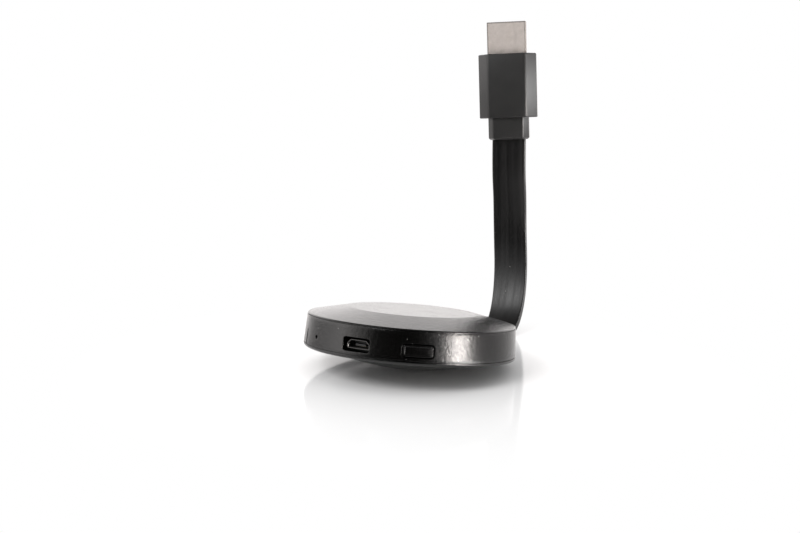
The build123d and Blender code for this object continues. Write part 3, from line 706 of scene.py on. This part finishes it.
@dataclass
class CaseShape:
    """Sizes of the case, level, with its axis on Z and the rim's lower edge at height 0."""

    rim_r: float = 34.0 * MM
    rim_h: float = 10.7 * MM
    draft: float = 3.9
    wall: float = 1.5 * MM
    disc_r: float = 20.5 * MM
    crown_h: float = 2.7 * MM
    disc_blend: float = 5.0 * MM
    edge_chamfer: float = 0.4 * MM
    lid_band: float = 0.6 * MM
    base_band: float = 1.1 * MM
    base_corner: float = 0.9 * MM
    dome_inset: float = 6.0 * MM
    dome_depth: float = 5.25 * MM
    dome_blend: float = 4.0 * MM
    tilt: float = 6.65
    seam_gap: float = 0.2 * MM
    seam_depth: float = 0.5 * MM
    fit: float = 0.1 * MM
    lip_t: float = 1.0 * MM
    lid_lip_h: float = 1.8 * MM
    base_lip_h: float = 0.9 * MM
    edge_ease: float = 0.07 * MM
    port_z: float = 4.4 * MM
    button_bearing: float = 32.95
    light_bearing: float = -30.2

    def radius(self, height: float) -> float:
        """Radius of the tapered rim at a height."""
        return self.rim_r - height * math.tan(math.radians(self.draft))

    @property
    def lid_seam(self) -> float:
        """Height of the joint between rim and lid."""
        return self.rim_h - self.lid_band

    @property
    def inner_r(self) -> float:
        """Radius of the rim's inner wall."""
        return self.radius(self.rim_h) - self.wall

    @property
    def lip_r(self) -> float:
        """Outer radius of the locating lips."""
        return self.inner_r - self.fit

    @property
    def dome_r(self) -> float:
        """Radius of the dome's edge."""
        return self.rim_r - self.dome_inset

    @property
    def dome_sphere(self) -> float:
        """Radius of the sphere that the dome is part of."""
        return (self.dome_r**2 + self.dome_depth**2) / (2 * self.dome_depth)

    @property
    def dome_centre(self) -> float:
        """Height of that sphere's middle."""
        return self.dome_sphere - self.dome_depth

    @property
    def standing(self) -> Matrix:
        """Placement of the level case on its tipped stand."""
        lift = self.dome_sphere - self.dome_centre * math.cos(math.radians(self.tilt))
        return Matrix.Translation((0, 0, lift)) @ spin(-self.tilt, "X")

    def on_rim(self, outline: Sequence[Point], height: float, bearing: float, offset: float) -> Ring:
        """Ring on the rim's outer face, or off it, in the level case.

        Args:
            outline: The ring's points, sideways and up from its middle.
            height: Height of its middle.
            bearing: Degrees round the case from -Y towards +X.
            offset: Distance out from the face.

        Returns:
            The ring.
        """
        turn = spin(bearing, "Z")
        reach = [(u, height + v, self.radius(height + v) + offset) for u, v in outline]
        return [turn @ Vector((u, -math.sqrt(r**2 - u**2), z)) for u, z, r in reach]


@dataclass
class SubAssembly:
    """Pieces of the stick that are made and dressed together."""

    wardrobe: Wardrobe
    shape: CaseShape


@dataclass
class Casing(SubAssembly):
    """The three mouldings of the case."""

    usb_recess: Corner = (9.3 * MM, 4.25 * MM, 0.9 * MM)
    button_opening: Corner = (9.8 * MM, 4.25 * MM, 1.15 * MM)
    cable_slot: Corner = (13.56 * MM, 4.56 * MM, 1.58 * MM)
    pin_hole_r: float = 0.62 * MM
    port_ease: float = 0.12 * MM
    port_clear: float = 1.5 * MM
    mould_line_bearing: float = -44.0
    mould_line: Point = (0.9 * MM, 4.9 * MM)
    mould_line_depth: float = 0.4 * MM
    bend_steps: int = 10
    rim_facets: int = 480
    rim_rows: int = 10
    dome_rows: tuple[int, int] = (36, 20)

    def lid(self) -> Piece:
        """Turn the lid, with its flat disc, sloping shoulder, edge band and lip.

        Returns:
            The lid, level.
        """
        s = self.shape
        crown_z = s.rim_h + s.crown_h
        gap_z = s.lid_seam + s.seam_gap
        shoulder_r = s.radius(s.rim_h) - s.edge_chamfer
        slope = s.crown_h / (shoulder_r - s.disc_r)
        roof = s.wall / math.cos(math.atan(slope))
        lip_in = s.lip_r - s.lip_t
        lip_low = s.lid_seam - s.lid_lip_h
        return lathe("lid", rounded([
            (0, crown_z, 0),
            (s.disc_r, crown_z, s.disc_blend),
            (shoulder_r, s.rim_h, 3 * s.edge_ease),
            (s.radius(gap_z), gap_z, s.edge_ease),
            (s.radius(gap_z) - s.seam_depth, gap_z, 0),
            (s.radius(gap_z) - s.seam_depth, s.lid_seam, 0),
            (s.lip_r, s.lid_seam, 0),
            (s.lip_r, lip_low, 0),
            (lip_in, lip_low, 0),
            (lip_in, s.rim_h + (shoulder_r - lip_in) * slope - roof, 0),
            (s.disc_r, crown_z - roof, s.disc_blend),
            (0, crown_z - roof, 0),
        ], self.bend_steps))

    def rim(self) -> Piece:
        """Turn the rim and cut its openings, each with an eased edge.

        Returns:
            The rim, level.
        """
        s = self.shape
        gap_z, top = s.base_band + s.seam_gap, s.lid_seam
        foot_r = s.radius(gap_z)
        face = [(s.radius(z), z, 0.0) for z in np.linspace(gap_z, top, self.rim_rows)[1:-1]]
        ring = lathe("rim", rounded([
            (s.inner_r, s.base_band, 0),
            (foot_r - s.seam_depth, s.base_band, 0),
            (foot_r - s.seam_depth, gap_z, 0),
            (foot_r, gap_z, s.edge_ease),
            *face,
            (s.radius(top), top, s.edge_ease),
            (s.inner_r, top, 0),
        ], 3), self.rim_facets)
        carve(ring, [
            self.port("power_port", self.boxed(self.usb_recess), 0, s.port_z),
            self.port("button_port", self.boxed(self.button_opening), s.button_bearing, s.port_z),
            self.port("light_port", self.round_hole, s.light_bearing, s.port_z),
            self.port("cable_port", self.boxed(self.cable_slot), 180, s.rim_h / 2),
            self.line_cutter(),
        ])
        return ring

    @staticmethod
    def boxed(sizes: Corner) -> Outline:
        """Rounded rectangle that can be moved outwards, from its width, height and radius."""
        width, height, radius = sizes
        return lambda grow: rounded_box(width + 2 * grow, height + 2 * grow, radius + grow)

    def round_hole(self, grow: float) -> list[Point]:
        """Outline of the pin hole.

        Args:
            grow: Distance moved outwards.

        Returns:
            The circle's points.
        """
        radius = self.pin_hole_r + grow
        angles = [2 * math.pi * step / 32 for step in range(32)]
        return [(radius * math.cos(a), radius * math.sin(a)) for a in angles]

    def port(self, name: str, outline: Outline, bearing: float, height: float) -> Piece:
        """Cutter for an opening square to the rim, wider at the outer face.

        Args:
            name: Name for the cutter.
            outline: Gives the opening's outline moved outwards by a distance.
            bearing: Where it lies round the case.
            height: Height of its middle.

        Returns:
            The cutter.
        """
        s, ease = self.shape, self.port_ease
        back = -(s.wall + 4 * self.port_clear)
        bend = [(ease * sine, -ease * cosine) for sine, cosine in QUARTER_ARC]
        steps = [(ease, self.port_clear), *bend, (0, back)]
        return skin(name, [s.on_rim(outline(grow), height, bearing, offset) for grow, offset in steps])

    def line_cutter(self) -> Piece:
        """Cutter for the upright groove left of the pin hole.

        Returns:
            The cutter.
        """
        s, depth = self.shape, self.mould_line_depth
        width, height = self.mould_line
        corners = [(-width / 2, 0), (width / 2, 0), (width / 2, height), (-width / 2, height)]
        return skin("line_port", [s.on_rim(corners, s.base_band, self.mould_line_bearing, offset)
                                  for offset in (depth, -depth)])

    def base(self) -> Piece:
        """Turn the base, with its domed underside, edge band and lip.

        Returns:
            The base, level.
        """
        s = self.shape
        lip_in = s.lip_r - s.lip_t
        lip_top = s.base_band + s.base_lip_h
        inner_sphere = s.dome_sphere - s.wall
        inner_base = math.sqrt(inner_sphere**2 - (s.dome_centre - s.wall) ** 2)

        def dome(sphere: float, start: float, end: float, count: int) -> list[Corner]:
            """Points along a sphere's underside, from one radius to another."""
            radii = np.linspace(start, end, count)
            return [(r, s.dome_centre - math.sqrt(sphere**2 - r**2), 0.0) for r in radii]

        outer_rows, inner_rows = self.dome_rows
        return lathe("base", rounded([
            *dome(s.dome_sphere, 0, s.dome_r - s.dome_blend / 2, outer_rows),
            (s.dome_r, 0, s.dome_blend),
            (s.rim_r, 0, s.base_corner),
            (s.radius(s.base_band), s.base_band, s.edge_ease),
            (s.lip_r, s.base_band, 0),
            (s.lip_r, lip_top, 0),
            (lip_in, lip_top, 0),
            (lip_in, s.wall, 0),
            *dome(inner_sphere, inner_base, 0, inner_rows),
        ], self.bend_steps))

    def build(self) -> None:
        """Make the mouldings and set them on the stand."""
        mouldings = {"top_cover": self.lid(), "rim_housing": self.rim(), "bottom_cover": self.base()}
        for node, piece in mouldings.items():
            piece.data.transform(self.shape.standing)
            self.wardrobe.seat(piece, Finish.CASE, CASING, "case_black", node)


@dataclass
class PushButton(SubAssembly):
    """The cap in the rim, with a raised edge round a sunk, curved face."""

    width: float = 8.9 * MM
    height: float = 3.4 * MM
    corner: float = 0.75 * MM
    proud: float = 0.25 * MM
    edge: float = 0.5 * MM
    sink: float = 0.2 * MM
    ease: float = 0.1 * MM
    flange_lap: float = 0.8 * MM
    flange_t: float = 0.8 * MM
    flange_gap: float = 0.12 * MM
    post: Corner = (2.4 * MM, 1.4 * MM, 0.2 * MM)
    post_l: float = 0.7 * MM
    least_height: float = 0.02 * MM
    least_corner: float = 0.225 * MM
    face_rows: int = 8

    def outline(self, inset: float) -> list[Point]:
        """Outline of the cap.

        Args:
            inset: Distance moved inwards, never quite to nothing.

        Returns:
            The outline's points.
        """
        height = max(self.height - 2 * inset, self.least_height)
        corner = min(max(self.corner - inset, self.least_corner), height * 0.49)
        return rounded_box(self.width - 2 * inset, height, corner)

    def on_face(self, inset: float, offset: float) -> Ring:
        """The cap's outline, moved inwards, along the rim's curve and a distance out from it."""
        s = self.shape
        return s.on_rim(self.outline(inset), s.port_z, s.button_bearing, offset)

    def flat(self, outline: list[Point], distance: float) -> Ring:
        """Ring square to the button's travel, a distance from the case's axis."""
        turn = spin(self.shape.button_bearing, "Z")
        return [turn @ point for point in upright_ring(outline, distance, self.shape.port_z)]

    def build(self) -> None:
        """Make the cap and set it in the case."""
        wide = self.width + 2 * self.flange_lap
        front = math.sqrt(self.shape.inner_r**2 - (wide / 2) ** 2) - self.flange_gap
        back = front - self.flange_t
        flange = rounded_box(wide, self.height + 2 * self.flange_lap, self.corner)
        proud, edge, ease = self.proud, self.edge, self.ease
        slopes = [(ease * c, proud - ease * s) for s, c in QUARTER_ARC]
        slopes += [(edge - ease * s, proud - ease * c) for s, c in QUARTER_ARC]
        floor = [edge + ease, *np.linspace(edge + 2 * ease, self.height / 2, self.face_rows)]
        slopes += [(float(inset), proud - self.sink) for inset in floor]
        rings = [self.flat(flange, back), self.flat(flange, front), self.flat(self.outline(0), front)]
        cap = skin("push_button", rings + [self.on_face(inset, offset) for inset, offset in slopes])
        stem = rounded_box(*self.post)
        merge(cap, skin("stem", [self.flat(stem, back - self.post_l), self.flat(stem, back)]))
        cap.data.transform(self.shape.standing)
        self.wardrobe.seat(cap, Finish.BUTTON, BUTTON, "button_black", "button_cap")
        self.wardrobe.keep("switch_plunger", Finish.SWITCH)


@dataclass
class PowerSocket(SubAssembly):
    """Micro-USB socket: a folded shell with a flared mouth, its tongue and its contacts."""

    form: SheetSection = SheetSection(7.5 * MM, 2.45 * MM, (1.1 * MM, 1.1 * MM), 0.35 * MM, 0.1 * MM)
    sheet: float = 0.28 * MM
    length: float = 5.0 * MM
    setback: float = 1.6 * MM
    flare: float = 0.08 * MM
    flare_l: float = 0.4 * MM

    def section(self, inset: float, distance: float) -> Ring:
        """Ring of the shell's section, moved inwards, at a distance from the case's axis."""
        return upright_ring(self.form.moved(inset), distance, self.shape.port_z)

    def build(self) -> None:
        """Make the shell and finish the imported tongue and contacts."""
        s = self.shape
        mouth = s.radius(s.port_z) - self.setback
        back, throat = mouth - self.length, mouth - self.flare_l
        bends = [(c, throat + self.flare_l * step / ARC_STEPS)
                 for step, (_, c) in enumerate(QUARTER_ARC)][1:]
        inner = self.flare + self.sheet / 2
        sections = [(0, back), (0, throat)]
        sections += [(-self.flare * c, spot) for c, spot in bends]
        sections += [(self.sheet - inner * c, spot) for c, spot in reversed(bends)]
        sections += [(self.sheet, throat), (self.sheet, back)]
        shell = skin("socket_shell", [self.section(*place) for place in sections], hoop=True)
        shell.data.transform(s.standing)
        self.wardrobe.seat(shell, Finish.SOCKET_METAL, CASING, "socket_metal", "usb_shell")
        self.wardrobe.keep("usb_tongue", Finish.CORE)
        self.wardrobe.keep("usb_contacts", Finish.GOLD)


@dataclass
class Inside:
    """What the closed case holds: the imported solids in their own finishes."""

    wardrobe: Wardrobe
    finishes: tuple[tuple[Finish, str], ...] = (
        (Finish.BOARD, "main_board wifi_board"),
        (Finish.SOCKET_METAL, "wifi_shield crystal"),
        (Finish.STEEL, "board_screws clamp_screws"),
        (Finish.CHIP, "main_chip memory_chips flash_chip"),
        (Finish.PAD, "thermal_pad"),
        (Finish.SINK, "heat_sink"),
        (Finish.COPPER, "antenna_strip"),
        (Finish.COIL, "inductors"),
        (Finish.CERAMIC, "capacitors"),
        (Finish.LENS, "status_led"),
        (Finish.CORE, "switch_body"),
        (Finish.CLAMP, "cable_clamp"),
        (Finish.GROMMET, "cable_tail"),
        (Finish.WIRES, "cable_wires"),
    )

    def build(self) -> None:
        """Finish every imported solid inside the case."""
        for finish, nodes in self.finishes:
            for node in nodes.split():
                self.wardrobe.keep(node, finish)


# The cable and its plug


@dataclass
class FlatCable(SubAssembly):
    """Flat cable that leaves the rear of the case, touches the floor and rises to the plug."""

    width: float = 11.75 * MM
    spread: float = 0.25 * MM
    thick: float = 2.4 * MM
    edge: float = 0.5 * MM
    grommet_wall: float = 1.0 * MM
    grommet_out: float = 2.0 * MM
    grommet_taper: float = 0.5 * MM
    grommet_flange: float = 0.6 * MM
    grommet_flange_t: float = 1.0 * MM
    grommet_gap: float = 0.08 * MM
    grommet_ease: float = 0.12 * MM
    length: float = 103.0 * MM
    route: tuple[Corner, ...] = (
        (0.0, 36.0151, 6.92199),
        (0.0, 45.3518, 5.83343),
        (0.9, 54.5, 1.203),
        (1.95, 64.2, 1.203),
        (1.6, 70.7, 8.3),
        (0.4, 75.3, 20.5),
        (-1.75, 77.8, 36.0),
        (-1.4, 75.9, 49.0),
        (-1.25, 73.8, 58.5),
        (-1.45, 73.78, 69.7),
    )
    twist_heights: tuple[float, ...] = (1.5, 8.0, 16.0, 28.0, 38.5, 54.4, 69.7)
    twist: tuple[float, ...] = (0.0, 3.5, 11.0, 16.0, 18.0, 19.0, 19.6)
    twist_blend: float = 6.0 * MM
    samples: int = 400
    sunk: float = 0.9 * MM

    def line(self) -> np.ndarray:
        """Read the cable's centreline from a smooth curve along its route.

        Returns:
            Its points, from the case to the plug.
        """
        curve = bpy.data.curves.new("cable_line", "CURVE")
        curve.dimensions = "3D"
        curve.resolution_u = 24
        spline = curve.splines.new("NURBS")
        spline.points.add(len(self.route) - 1)
        for point, place in zip(spline.points, self.route):
            point.co = (*(value * MM for value in place), 1)
        spline.order_u = 3
        spline.use_endpoint_u = True
        holder = put("cable_line", curve)
        mesh = bpy.data.meshes.new_from_object(holder)
        points = np.array([vertex.co[:] for vertex in mesh.vertices])
        bpy.data.objects.remove(holder)
        bpy.data.meshes.remove(mesh)
        return points

    def ribbon(self, line: np.ndarray) -> Piece:
        """Jacket along the centreline, its broad face turning towards the plug.

        Args:
            line: Points of the centreline.

        Returns:
            The jacket, with its width and length as its flat coordinates.
        """
        section = rounded_box(self.width + self.spread, self.thick, self.edge)
        tangents = np.gradient(line, axis=0)
        rings: list[Ring] = []
        for place, tangent, turn in zip(line, tangents, self.turns(line)):
            along = Vector(tangent).normalized()
            across = Vector((math.cos(turn), math.sin(turn), 0))
            across = (across - along * across.dot(along)).normalized()
            normal = along.cross(across)
            rings.append([Vector(place) + across * u + normal * v for u, v in section])
        rings.append([point + along * self.sunk for point in rings[-1]])
        jacket = skin("cable_jacket", rings)
        run = self.run(line)
        flat = jacket.data.uv_layers.new(name="along")
        for loop in jacket.data.loops:
            ring, corner = divmod(loop.vertex_index, len(section))
            flat.data[loop.index].uv = (section[corner][0], run[min(ring, len(run) - 1)])
        return jacket

    def turns(self, line: np.ndarray) -> np.ndarray:
        """Turn of the broad face at each point of the centreline.

        Args:
            line: Points of the centreline.

        Returns:
            The turns in radians, eased where the rate of turning changes.
        """
        run = self.run(line)
        even = np.linspace(0, run[-1], self.samples)
        heights = np.interp(even, run, line[:, 2]) / MM
        rising = even > run[-1] / 3  # the first third lies level
        turns = np.radians(np.interp(heights, self.twist_heights, self.twist) * rising)
        reach = round(self.twist_blend / run[-1] * len(even))
        window = np.hanning(2 * reach + 1)
        padded = np.pad(turns, reach, mode="edge")
        return np.interp(run, even, np.convolve(padded, window / window.sum(), mode="valid"))

    @staticmethod
    def run(line: np.ndarray) -> np.ndarray:
        """Distance along the centreline at each of its points."""
        return np.concatenate([[0], np.cumsum(np.linalg.norm(np.diff(line, axis=0), axis=1))])

    def grommet(self) -> Piece:
        """Make the strain relief in the rear wall, with a flange inside and a taper outside.

        Returns:
            The strain relief, level.
        """
        s, ease, flange, taper = self.shape, self.grommet_ease, self.grommet_flange, self.grommet_taper
        wide = self.width + 2 * self.grommet_wall
        tall = self.thick + 2 * self.grommet_wall
        radius = self.grommet_wall + self.edge
        height = s.rim_h / 2
        outer = s.radius(height)
        seat = math.sqrt(s.inner_r**2 - (wide / 2 + flange) ** 2) - self.grommet_gap
        tip = outer + self.grommet_out
        rings: list[Ring] = []
        for grow, distance in (
            (flange, seat - self.grommet_flange_t),
            (flange, seat),
            (0, seat),
            (0, outer + self.grommet_out / 4),
            (-0.9 * taper, tip - ease),
            (-taper - 0.3 * ease, tip - 0.3 * ease),
            (-taper - ease, tip),
        ):
            outline = rounded_box(wide + 2 * grow, tall + 2 * grow, radius + min(grow, 0))
            rings.append(upright_ring(outline, -distance, height))
        return skin("cable_relief", rings)

    def build(self) -> tuple[Piece, Piece, np.ndarray]:
        """Make the cable and its strain relief.

        Returns:
            The jacket, the strain relief and the centreline.
        """
        relief = self.grommet()
        relief.data.transform(self.shape.standing)
        self.wardrobe.seat(relief, Finish.GROMMET, CASING, "grommet_black", "cable_grommet")
        line = self.line()
        jacket = self.ribbon(line)
        self.wardrobe.seat(jacket, Finish.CABLE, CASING, "cable_black", "ribbon_cable")
        return jacket, relief, line


@dataclass
class VideoPlug:
    """Moulded grip with cut corners, a narrower neck and the metal shell."""

    wardrobe: Wardrobe
    place: Corner = (-1.45 * MM, 73.78 * MM, 69.7 * MM)
    yaw: float = 19.6
    lean: float = -3.2
    side: float = -3.45
    neck: Corner = (14.5 * MM, 7.5 * MM, 7.8 * MM)
    neck_cut: Point = (1.8 * MM, 2.4 * MM)
    neck_chamfer: float = 0.6 * MM
    neck_soft: float = 0.9 * MM
    grip: Corner = (20.65 * MM, 10.49 * MM, 22.75 * MM)
    grip_cut: Point = (3.5 * MM, 4.0 * MM)
    grip_soft: float = 1.5 * MM
    edge: float = 0.25 * MM
    ease: float = 0.35 * MM
    form: SheetSection = SheetSection(13.9 * MM, 4.45 * MM, (1.3 * MM, 1.5 * MM), 0.3 * MM, 0.12 * MM)
    sheet: float = 0.35 * MM
    shell_out: float = 11.35 * MM
    shell_in: float = 6.0 * MM
    dent_r: float = 1.4 * MM
    dent_depth: float = 0.035 * MM
    dent_x: float = 3.3 * MM
    dent_up: float = 3.9 * MM
    dent_pitch: float = 0.25 * MM
    rows: int = 64
    roll_steps: int = 8
    crease: float = 0.12 * MM
    pocket_gap: float = 0.05 * MM

    @property
    def placement(self) -> Matrix:
        """Placement of the plug, which is built with Z along it."""
        turn = spin(self.yaw, "Z") @ spin(self.lean, "X") @ spin(self.side, "Y")
        return Matrix.Translation(self.place) @ turn

    @property
    def grip_top(self) -> float:
        """Height of the grip's flat end above the cable's entry."""
        return self.neck[2] + self.grip[2]

    def moulded(self, size: Corner, cut: Point, soft: float) -> Outline:
        """Section of the grip or neck, which can be moved inwards."""
        width, thick, _ = size
        return lambda inset: cut_corners(width - 2 * inset, thick - 2 * inset, cut, self.edge, soft)

    def body(self) -> Piece:
        """Mould grip and neck in one, with a pocket for the shell.

        Returns:
            The moulding, upright.
        """
        neck = self.moulded(self.neck, self.neck_cut, self.neck_soft)
        grip = self.moulded(self.grip, self.grip_cut, self.grip_soft)
        chamfer, crease, ease = self.neck_chamfer, self.crease, self.ease
        neck_top, top = self.neck[2], self.grip_top
        corner = crease * 0.4
        foot = ((chamfer + crease, 0), (chamfer - corner, corner), (corner, chamfer - corner),
                (0, chamfer + crease), (0, neck_top))
        rings = [level_ring(neck(inset), height) for inset, height in foot]
        rings += [level_ring(grip(ease * s), neck_top + ease * c) for s, c in QUARTER_ARC]
        rings += [level_ring(grip(ease * c), top - ease * s) for s, c in QUARTER_ARC]
        moulding = skin("plug_grip", rings)
        pocket = [level_ring(self.form.moved(-self.pocket_gap), top + reach)
                  for reach in (-self.shell_in, self.shell_in)]
        carve(moulding, [skin("pocket", pocket)])
        return moulding

    def shell(self) -> Piece:
        """Fold the metal shell, with rolled front edges and two shallow dents in its broad face.

        Returns:
            The shell, upright.
        """
        foot = self.grip_top - self.shell_in
        roll = self.sheet / 2
        rise = self.grip_top + self.shell_out - roll
        sections = [(0, z) for z in np.linspace(foot, rise, self.rows)]
        for step in range(1, self.roll_steps):
            angle = math.pi * step / self.roll_steps
            sections.append((roll * (1 - math.cos(angle)), rise + roll * math.sin(angle)))
        sections += [(self.sheet, rise), (self.sheet, foot)]
        rings = [self.dense(self.form.moved(inset), z) for inset, z in sections]
        piece = skin("plug_shell", rings, hoop=True)
        up = self.grip_top + self.dent_up
        for vertex in piece.data.vertices:
            if vertex.co.y > -self.form.height / 2 + self.sheet / 2:
                continue
            for side in (-1, 1):
                reach = math.hypot(vertex.co.x - side * self.dent_x, vertex.co.z - up) / self.dent_r
                if reach < 1:
                    vertex.co.y += self.dent_depth * (1 - reach**2) ** 2
        return piece

    def dense(self, outline: Sequence[Point], height: float) -> Ring:
        """Ring with extra points along the two broad faces, so that they can be dented.

        Args:
            outline: Section of the shell.
            height: Height of the ring.

        Returns:
            The ring, always with the same number of points.
        """
        splits = round(self.form.width / self.dent_pitch)
        ring: Ring = []
        for index, (u, v) in enumerate(outline):
            here = Vector((u, v, height))
            there = Vector((*outline[(index + 1) % len(outline)], height))
            ring.append(here)
            if abs(there.x - u) > self.form.width / 2:
                ring += [here.lerp(there, step / splits) for step in range(1, splits)]
        return ring

    def build(self) -> list[Piece]:
        """Make the plug at the end of the cable.

        Returns:
            Every piece of the plug that shows.
        """
        body, shell = self.body(), self.shell()
        for piece in (body, shell):
            piece.data.transform(self.placement)
        self.wardrobe.seat(body, Finish.GRIP, CASING, "grip_black", "plug_overmould")
        self.wardrobe.seat(shell, Finish.PLUG_METAL, CASING, "plug_metal", "hdmi_shell")
        self.wardrobe.keep("hdmi_insulator", Finish.CORE)
        self.wardrobe.keep("hdmi_contacts", Finish.GOLD)
        return [body, shell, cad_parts["hdmi_insulator"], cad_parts["hdmi_contacts"]]


# The studio


@dataclass(frozen=True)
class Lamp:
    """Soft rectangular lamp that faces the stick, at a bearing from -Y towards +X."""

    name: str
    bearing: float
    elevation: float
    distance: float
    size: Point
    power: float
    matte: bool = False
    tint: Colour = WHITE
    aim: Corner = (0.0, 0.02, 0.03)

    def build(self) -> None:
        """Hang the lamp, out of the camera's sight and off matte faces unless it is for them."""
        b, e = math.radians(self.bearing), math.radians(self.elevation)
        out = Vector((math.sin(b) * math.cos(e), -math.cos(b) * math.cos(e), math.sin(e)))
        data = bpy.data.lights.new(self.name, "AREA")
        data.shape = "RECTANGLE"
        data.size, data.size_y = self.size
        data.energy = self.power
        data.color = self.tint
        holder = put(self.name, data)
        holder.visible_diffuse = self.matte
        holder.visible_camera = False
        holder.location = Vector(self.aim) + out * self.distance
        holder.rotation_euler = out.to_track_quat("Z", "Y").to_euler()


@dataclass
class Studio:
    """White table and backdrop, soft lamps, and the camera at the photograph's angle."""

    distance: float = 416.58 * MM
    azimuth: float = 29.07
    elevation: float = 13.93
    yaw: float = -0.49
    pitch: float = 4.5
    roll: float = 1.21
    lens: float = 58.18
    sensor: float = 36.0
    floor_size: float = 6.0
    floor_colour: Colour = (0.96, 0.955, 0.955)
    floor_rough: float = 0.1
    floor_gloss: float = 0.12
    white_floor: Point = (0.045, 0.11)
    # painted reflection on the table: where it takes over from the lit surface for glossy rays, and where
    # and how far it dims away from the stick
    painted_reflection_fade: Point = (0.04, 0.08)
    far_painted_reflection: Corner = (0.18, 0.34, 0.85)
    soft_level: float = 0.85
    wall_tint: Colour = (1.0, 0.968, 0.958)
    ceiling: Corner = (30.0, 46.0, 0.15)
    walls: tuple[Point, ...] = (
        (-180, 1.8), (-150, 1.9), (-120, 1.75), (-100, 1.7), (-80, 1.9), (-62, 1.9), (-52, 3.0),
        (-43, 2.2), (-34, 1.2), (-26, 1.1), (-20, 0.7), (-14, 0.01), (44, 0.01), (54, 0.5), (66, 1.3),
        (120, 1.3), (150, 1.7), (180, 1.8),
    )
    # painted reflection: brightness by bearing that the table glows with for glossy rays; the band from 70
    # to 82 stands in for the key lamp's mirror image
    painted_reflection: tuple[Point, ...] = (
        (-180, 1.5), (-120, 1.5), (-92, 0.8), (-80, 0.5), (-60, 1.1), (-47, 2.0), (-26, 1.2),
        (-14, 0.01), (44, 0.01), (56, 0.4), (64, 2.0), (70, 15.0), (82, 15.0), (90, 2.2), (102, 1.2),
        (112, 0.9), (150, 1.1), (180, 1.2),
    )
    lamps: tuple[Lamp, ...] = (
        Lamp("key", 79.0, -2.1, 0.55, (0.155, 0.1), 2.9, tint=(1.0, 0.94, 0.89)),
        Lamp("side", 108, 9.3, 0.56, (0.2, 0.12), 1.6),
        Lamp("front", -14, 37, 0.6, (0.3, 0.25), 1.6, matte=True),
    )

    def camera(self) -> None:
        """Create the camera and make it the scene's own."""
        data = bpy.data.cameras.new("camera")
        data.lens = self.lens
        data.sensor_width = self.sensor
        data.clip_start = 0.01
        stand = spin(self.azimuth, "Z") @ spin(90 - self.elevation, "X")
        aim = spin(-self.yaw, "Y") @ spin(self.pitch, "X") @ spin(self.roll, "Z")
        holder = put("camera", data)
        holder.matrix_world = stand @ Matrix.Translation((0, 0, self.distance)) @ aim
        bpy.context.scene.camera = holder

    def world(self) -> None:
        """White for the camera, even light on rough faces, and a room to see in glossy ones."""
        world = bpy.data.worlds.new("studio")
        world.use_nodes = True
        bpy.context.scene.world = world
        sky = Graph(world.node_tree)
        sky.nodes.clear()
        direction = sky.add("TexCoord", out="Generated")
        low, high, dim = self.ceiling
        roof = sky.remap(sky.add("SeparateXYZ", direction, out="Z"), math.sin(math.radians(low)),
                         math.sin(math.radians(high)), 1, dim, "SMOOTHSTEP")
        level = sky.math("MULTIPLY", sky.room(direction, self.walls), roof)
        ray = sky.add("LightPath").node.outputs
        even = sky.add("Background", WHITE, self.soft_level)
        walls = sky.add("Background", self.wall_tint, level)
        glossy = sky.add("MixShader", ray["Is Glossy Ray"], even, walls)
        switch = sky.add("MixShader", ray["Is Camera Ray"], glossy, sky.add("Background", WHITE))
        sky.feed(sky.nodes.new("ShaderNodeOutputWorld").inputs["Surface"], switch)

    def table(self) -> None:
        """Glossy white table that turns into plain white away from the stick, and shows glossy faces a
        painted reflection of the room and key lamp.
        """
        half = self.floor_size / 2
        corners = [(-half, -half, 0), (half, -half, 0), (half, half, 0), (-half, half, 0)]
        mesh = bpy.data.meshes.new("table")
        mesh.from_pydata(corners, [], [(0, 1, 2, 3)])
        top = put("table", mesh)
        acrylic = Recipe("white_acrylic")
        mesh.materials.append(acrylic.material)
        acrylic.surface(self.floor_colour, self.floor_rough, gloss=self.floor_gloss)
        far = acrylic.add("VectorMath", acrylic.place, out="Value", operation="LENGTH")
        # painted reflection: away from the stick, glossy rays see the table glow by bearing, dimmed far
        # off, in place of the lit surface
        near, beyond, gain = self.far_painted_reflection
        level = acrylic.math("MULTIPLY", acrylic.room(acrylic.place, self.painted_reflection),
                             acrylic.remap(far, near, beyond, 1, gain))
        mirror = acrylic.math("MULTIPLY", acrylic.add("LightPath", out="Is Glossy Ray"),
                              acrylic.remap(far, *self.painted_reflection_fade, blend="SMOOTHSTEP"))
        away = acrylic.remap(far, *self.white_floor, blend="SMOOTHSTEP")
        lit = acrylic.shader.outputs["BSDF"]
        white = acrylic.add("MixShader", away, lit, acrylic.add("Emission", WHITE))
        whole = acrylic.add("MixShader", mirror, white, acrylic.add("Emission", self.wall_tint, level))
        acrylic.feed(acrylic.nodes["Material Output"].inputs["Surface"], whole)

    def build(self) -> None:
        """Set up camera, backdrop, table and lamps."""
        self.camera()
        self.world()
        self.table()
        for lamp in self.lamps:
            lamp.build()
        bpy.context.scene.view_settings.view_transform = "Standard"

    @staticmethod
    def shade_lid(lamp: str, lit: Sequence[Piece]) -> None:
        """Keep a lamp to some pieces, so that the glossy lid doesn't mirror it.

        Args:
            lamp: Name of the lamp.
            lit: The pieces that it still lights.
        """
        receivers = bpy.data.collections.new(f"{lamp}_lit")
        for piece in lit:
            receivers.objects.link(piece)
        bpy.data.objects[lamp].light_linking.receiver_collection = receivers


def main() -> None:
    """Build every sub-assembly in order."""
    logging.basicConfig(level=logging.INFO, format="%(name)s: %(message)s")
    shape = CaseShape()
    wardrobe = Wardrobe()
    studio = Studio()
    studio.build()
    cable = FlatCable(wardrobe, shape)
    jacket, relief, line = cable.build()
    plug = VideoPlug(wardrobe).build()
    Casing(wardrobe, shape).build()
    PushButton(wardrobe, shape).build()
    PowerSocket(wardrobe, shape).build()
    Inside(wardrobe).build()
    studio.shade_lid("side", [jacket, relief, *plug])


if __name__ == "__main__":
    main()
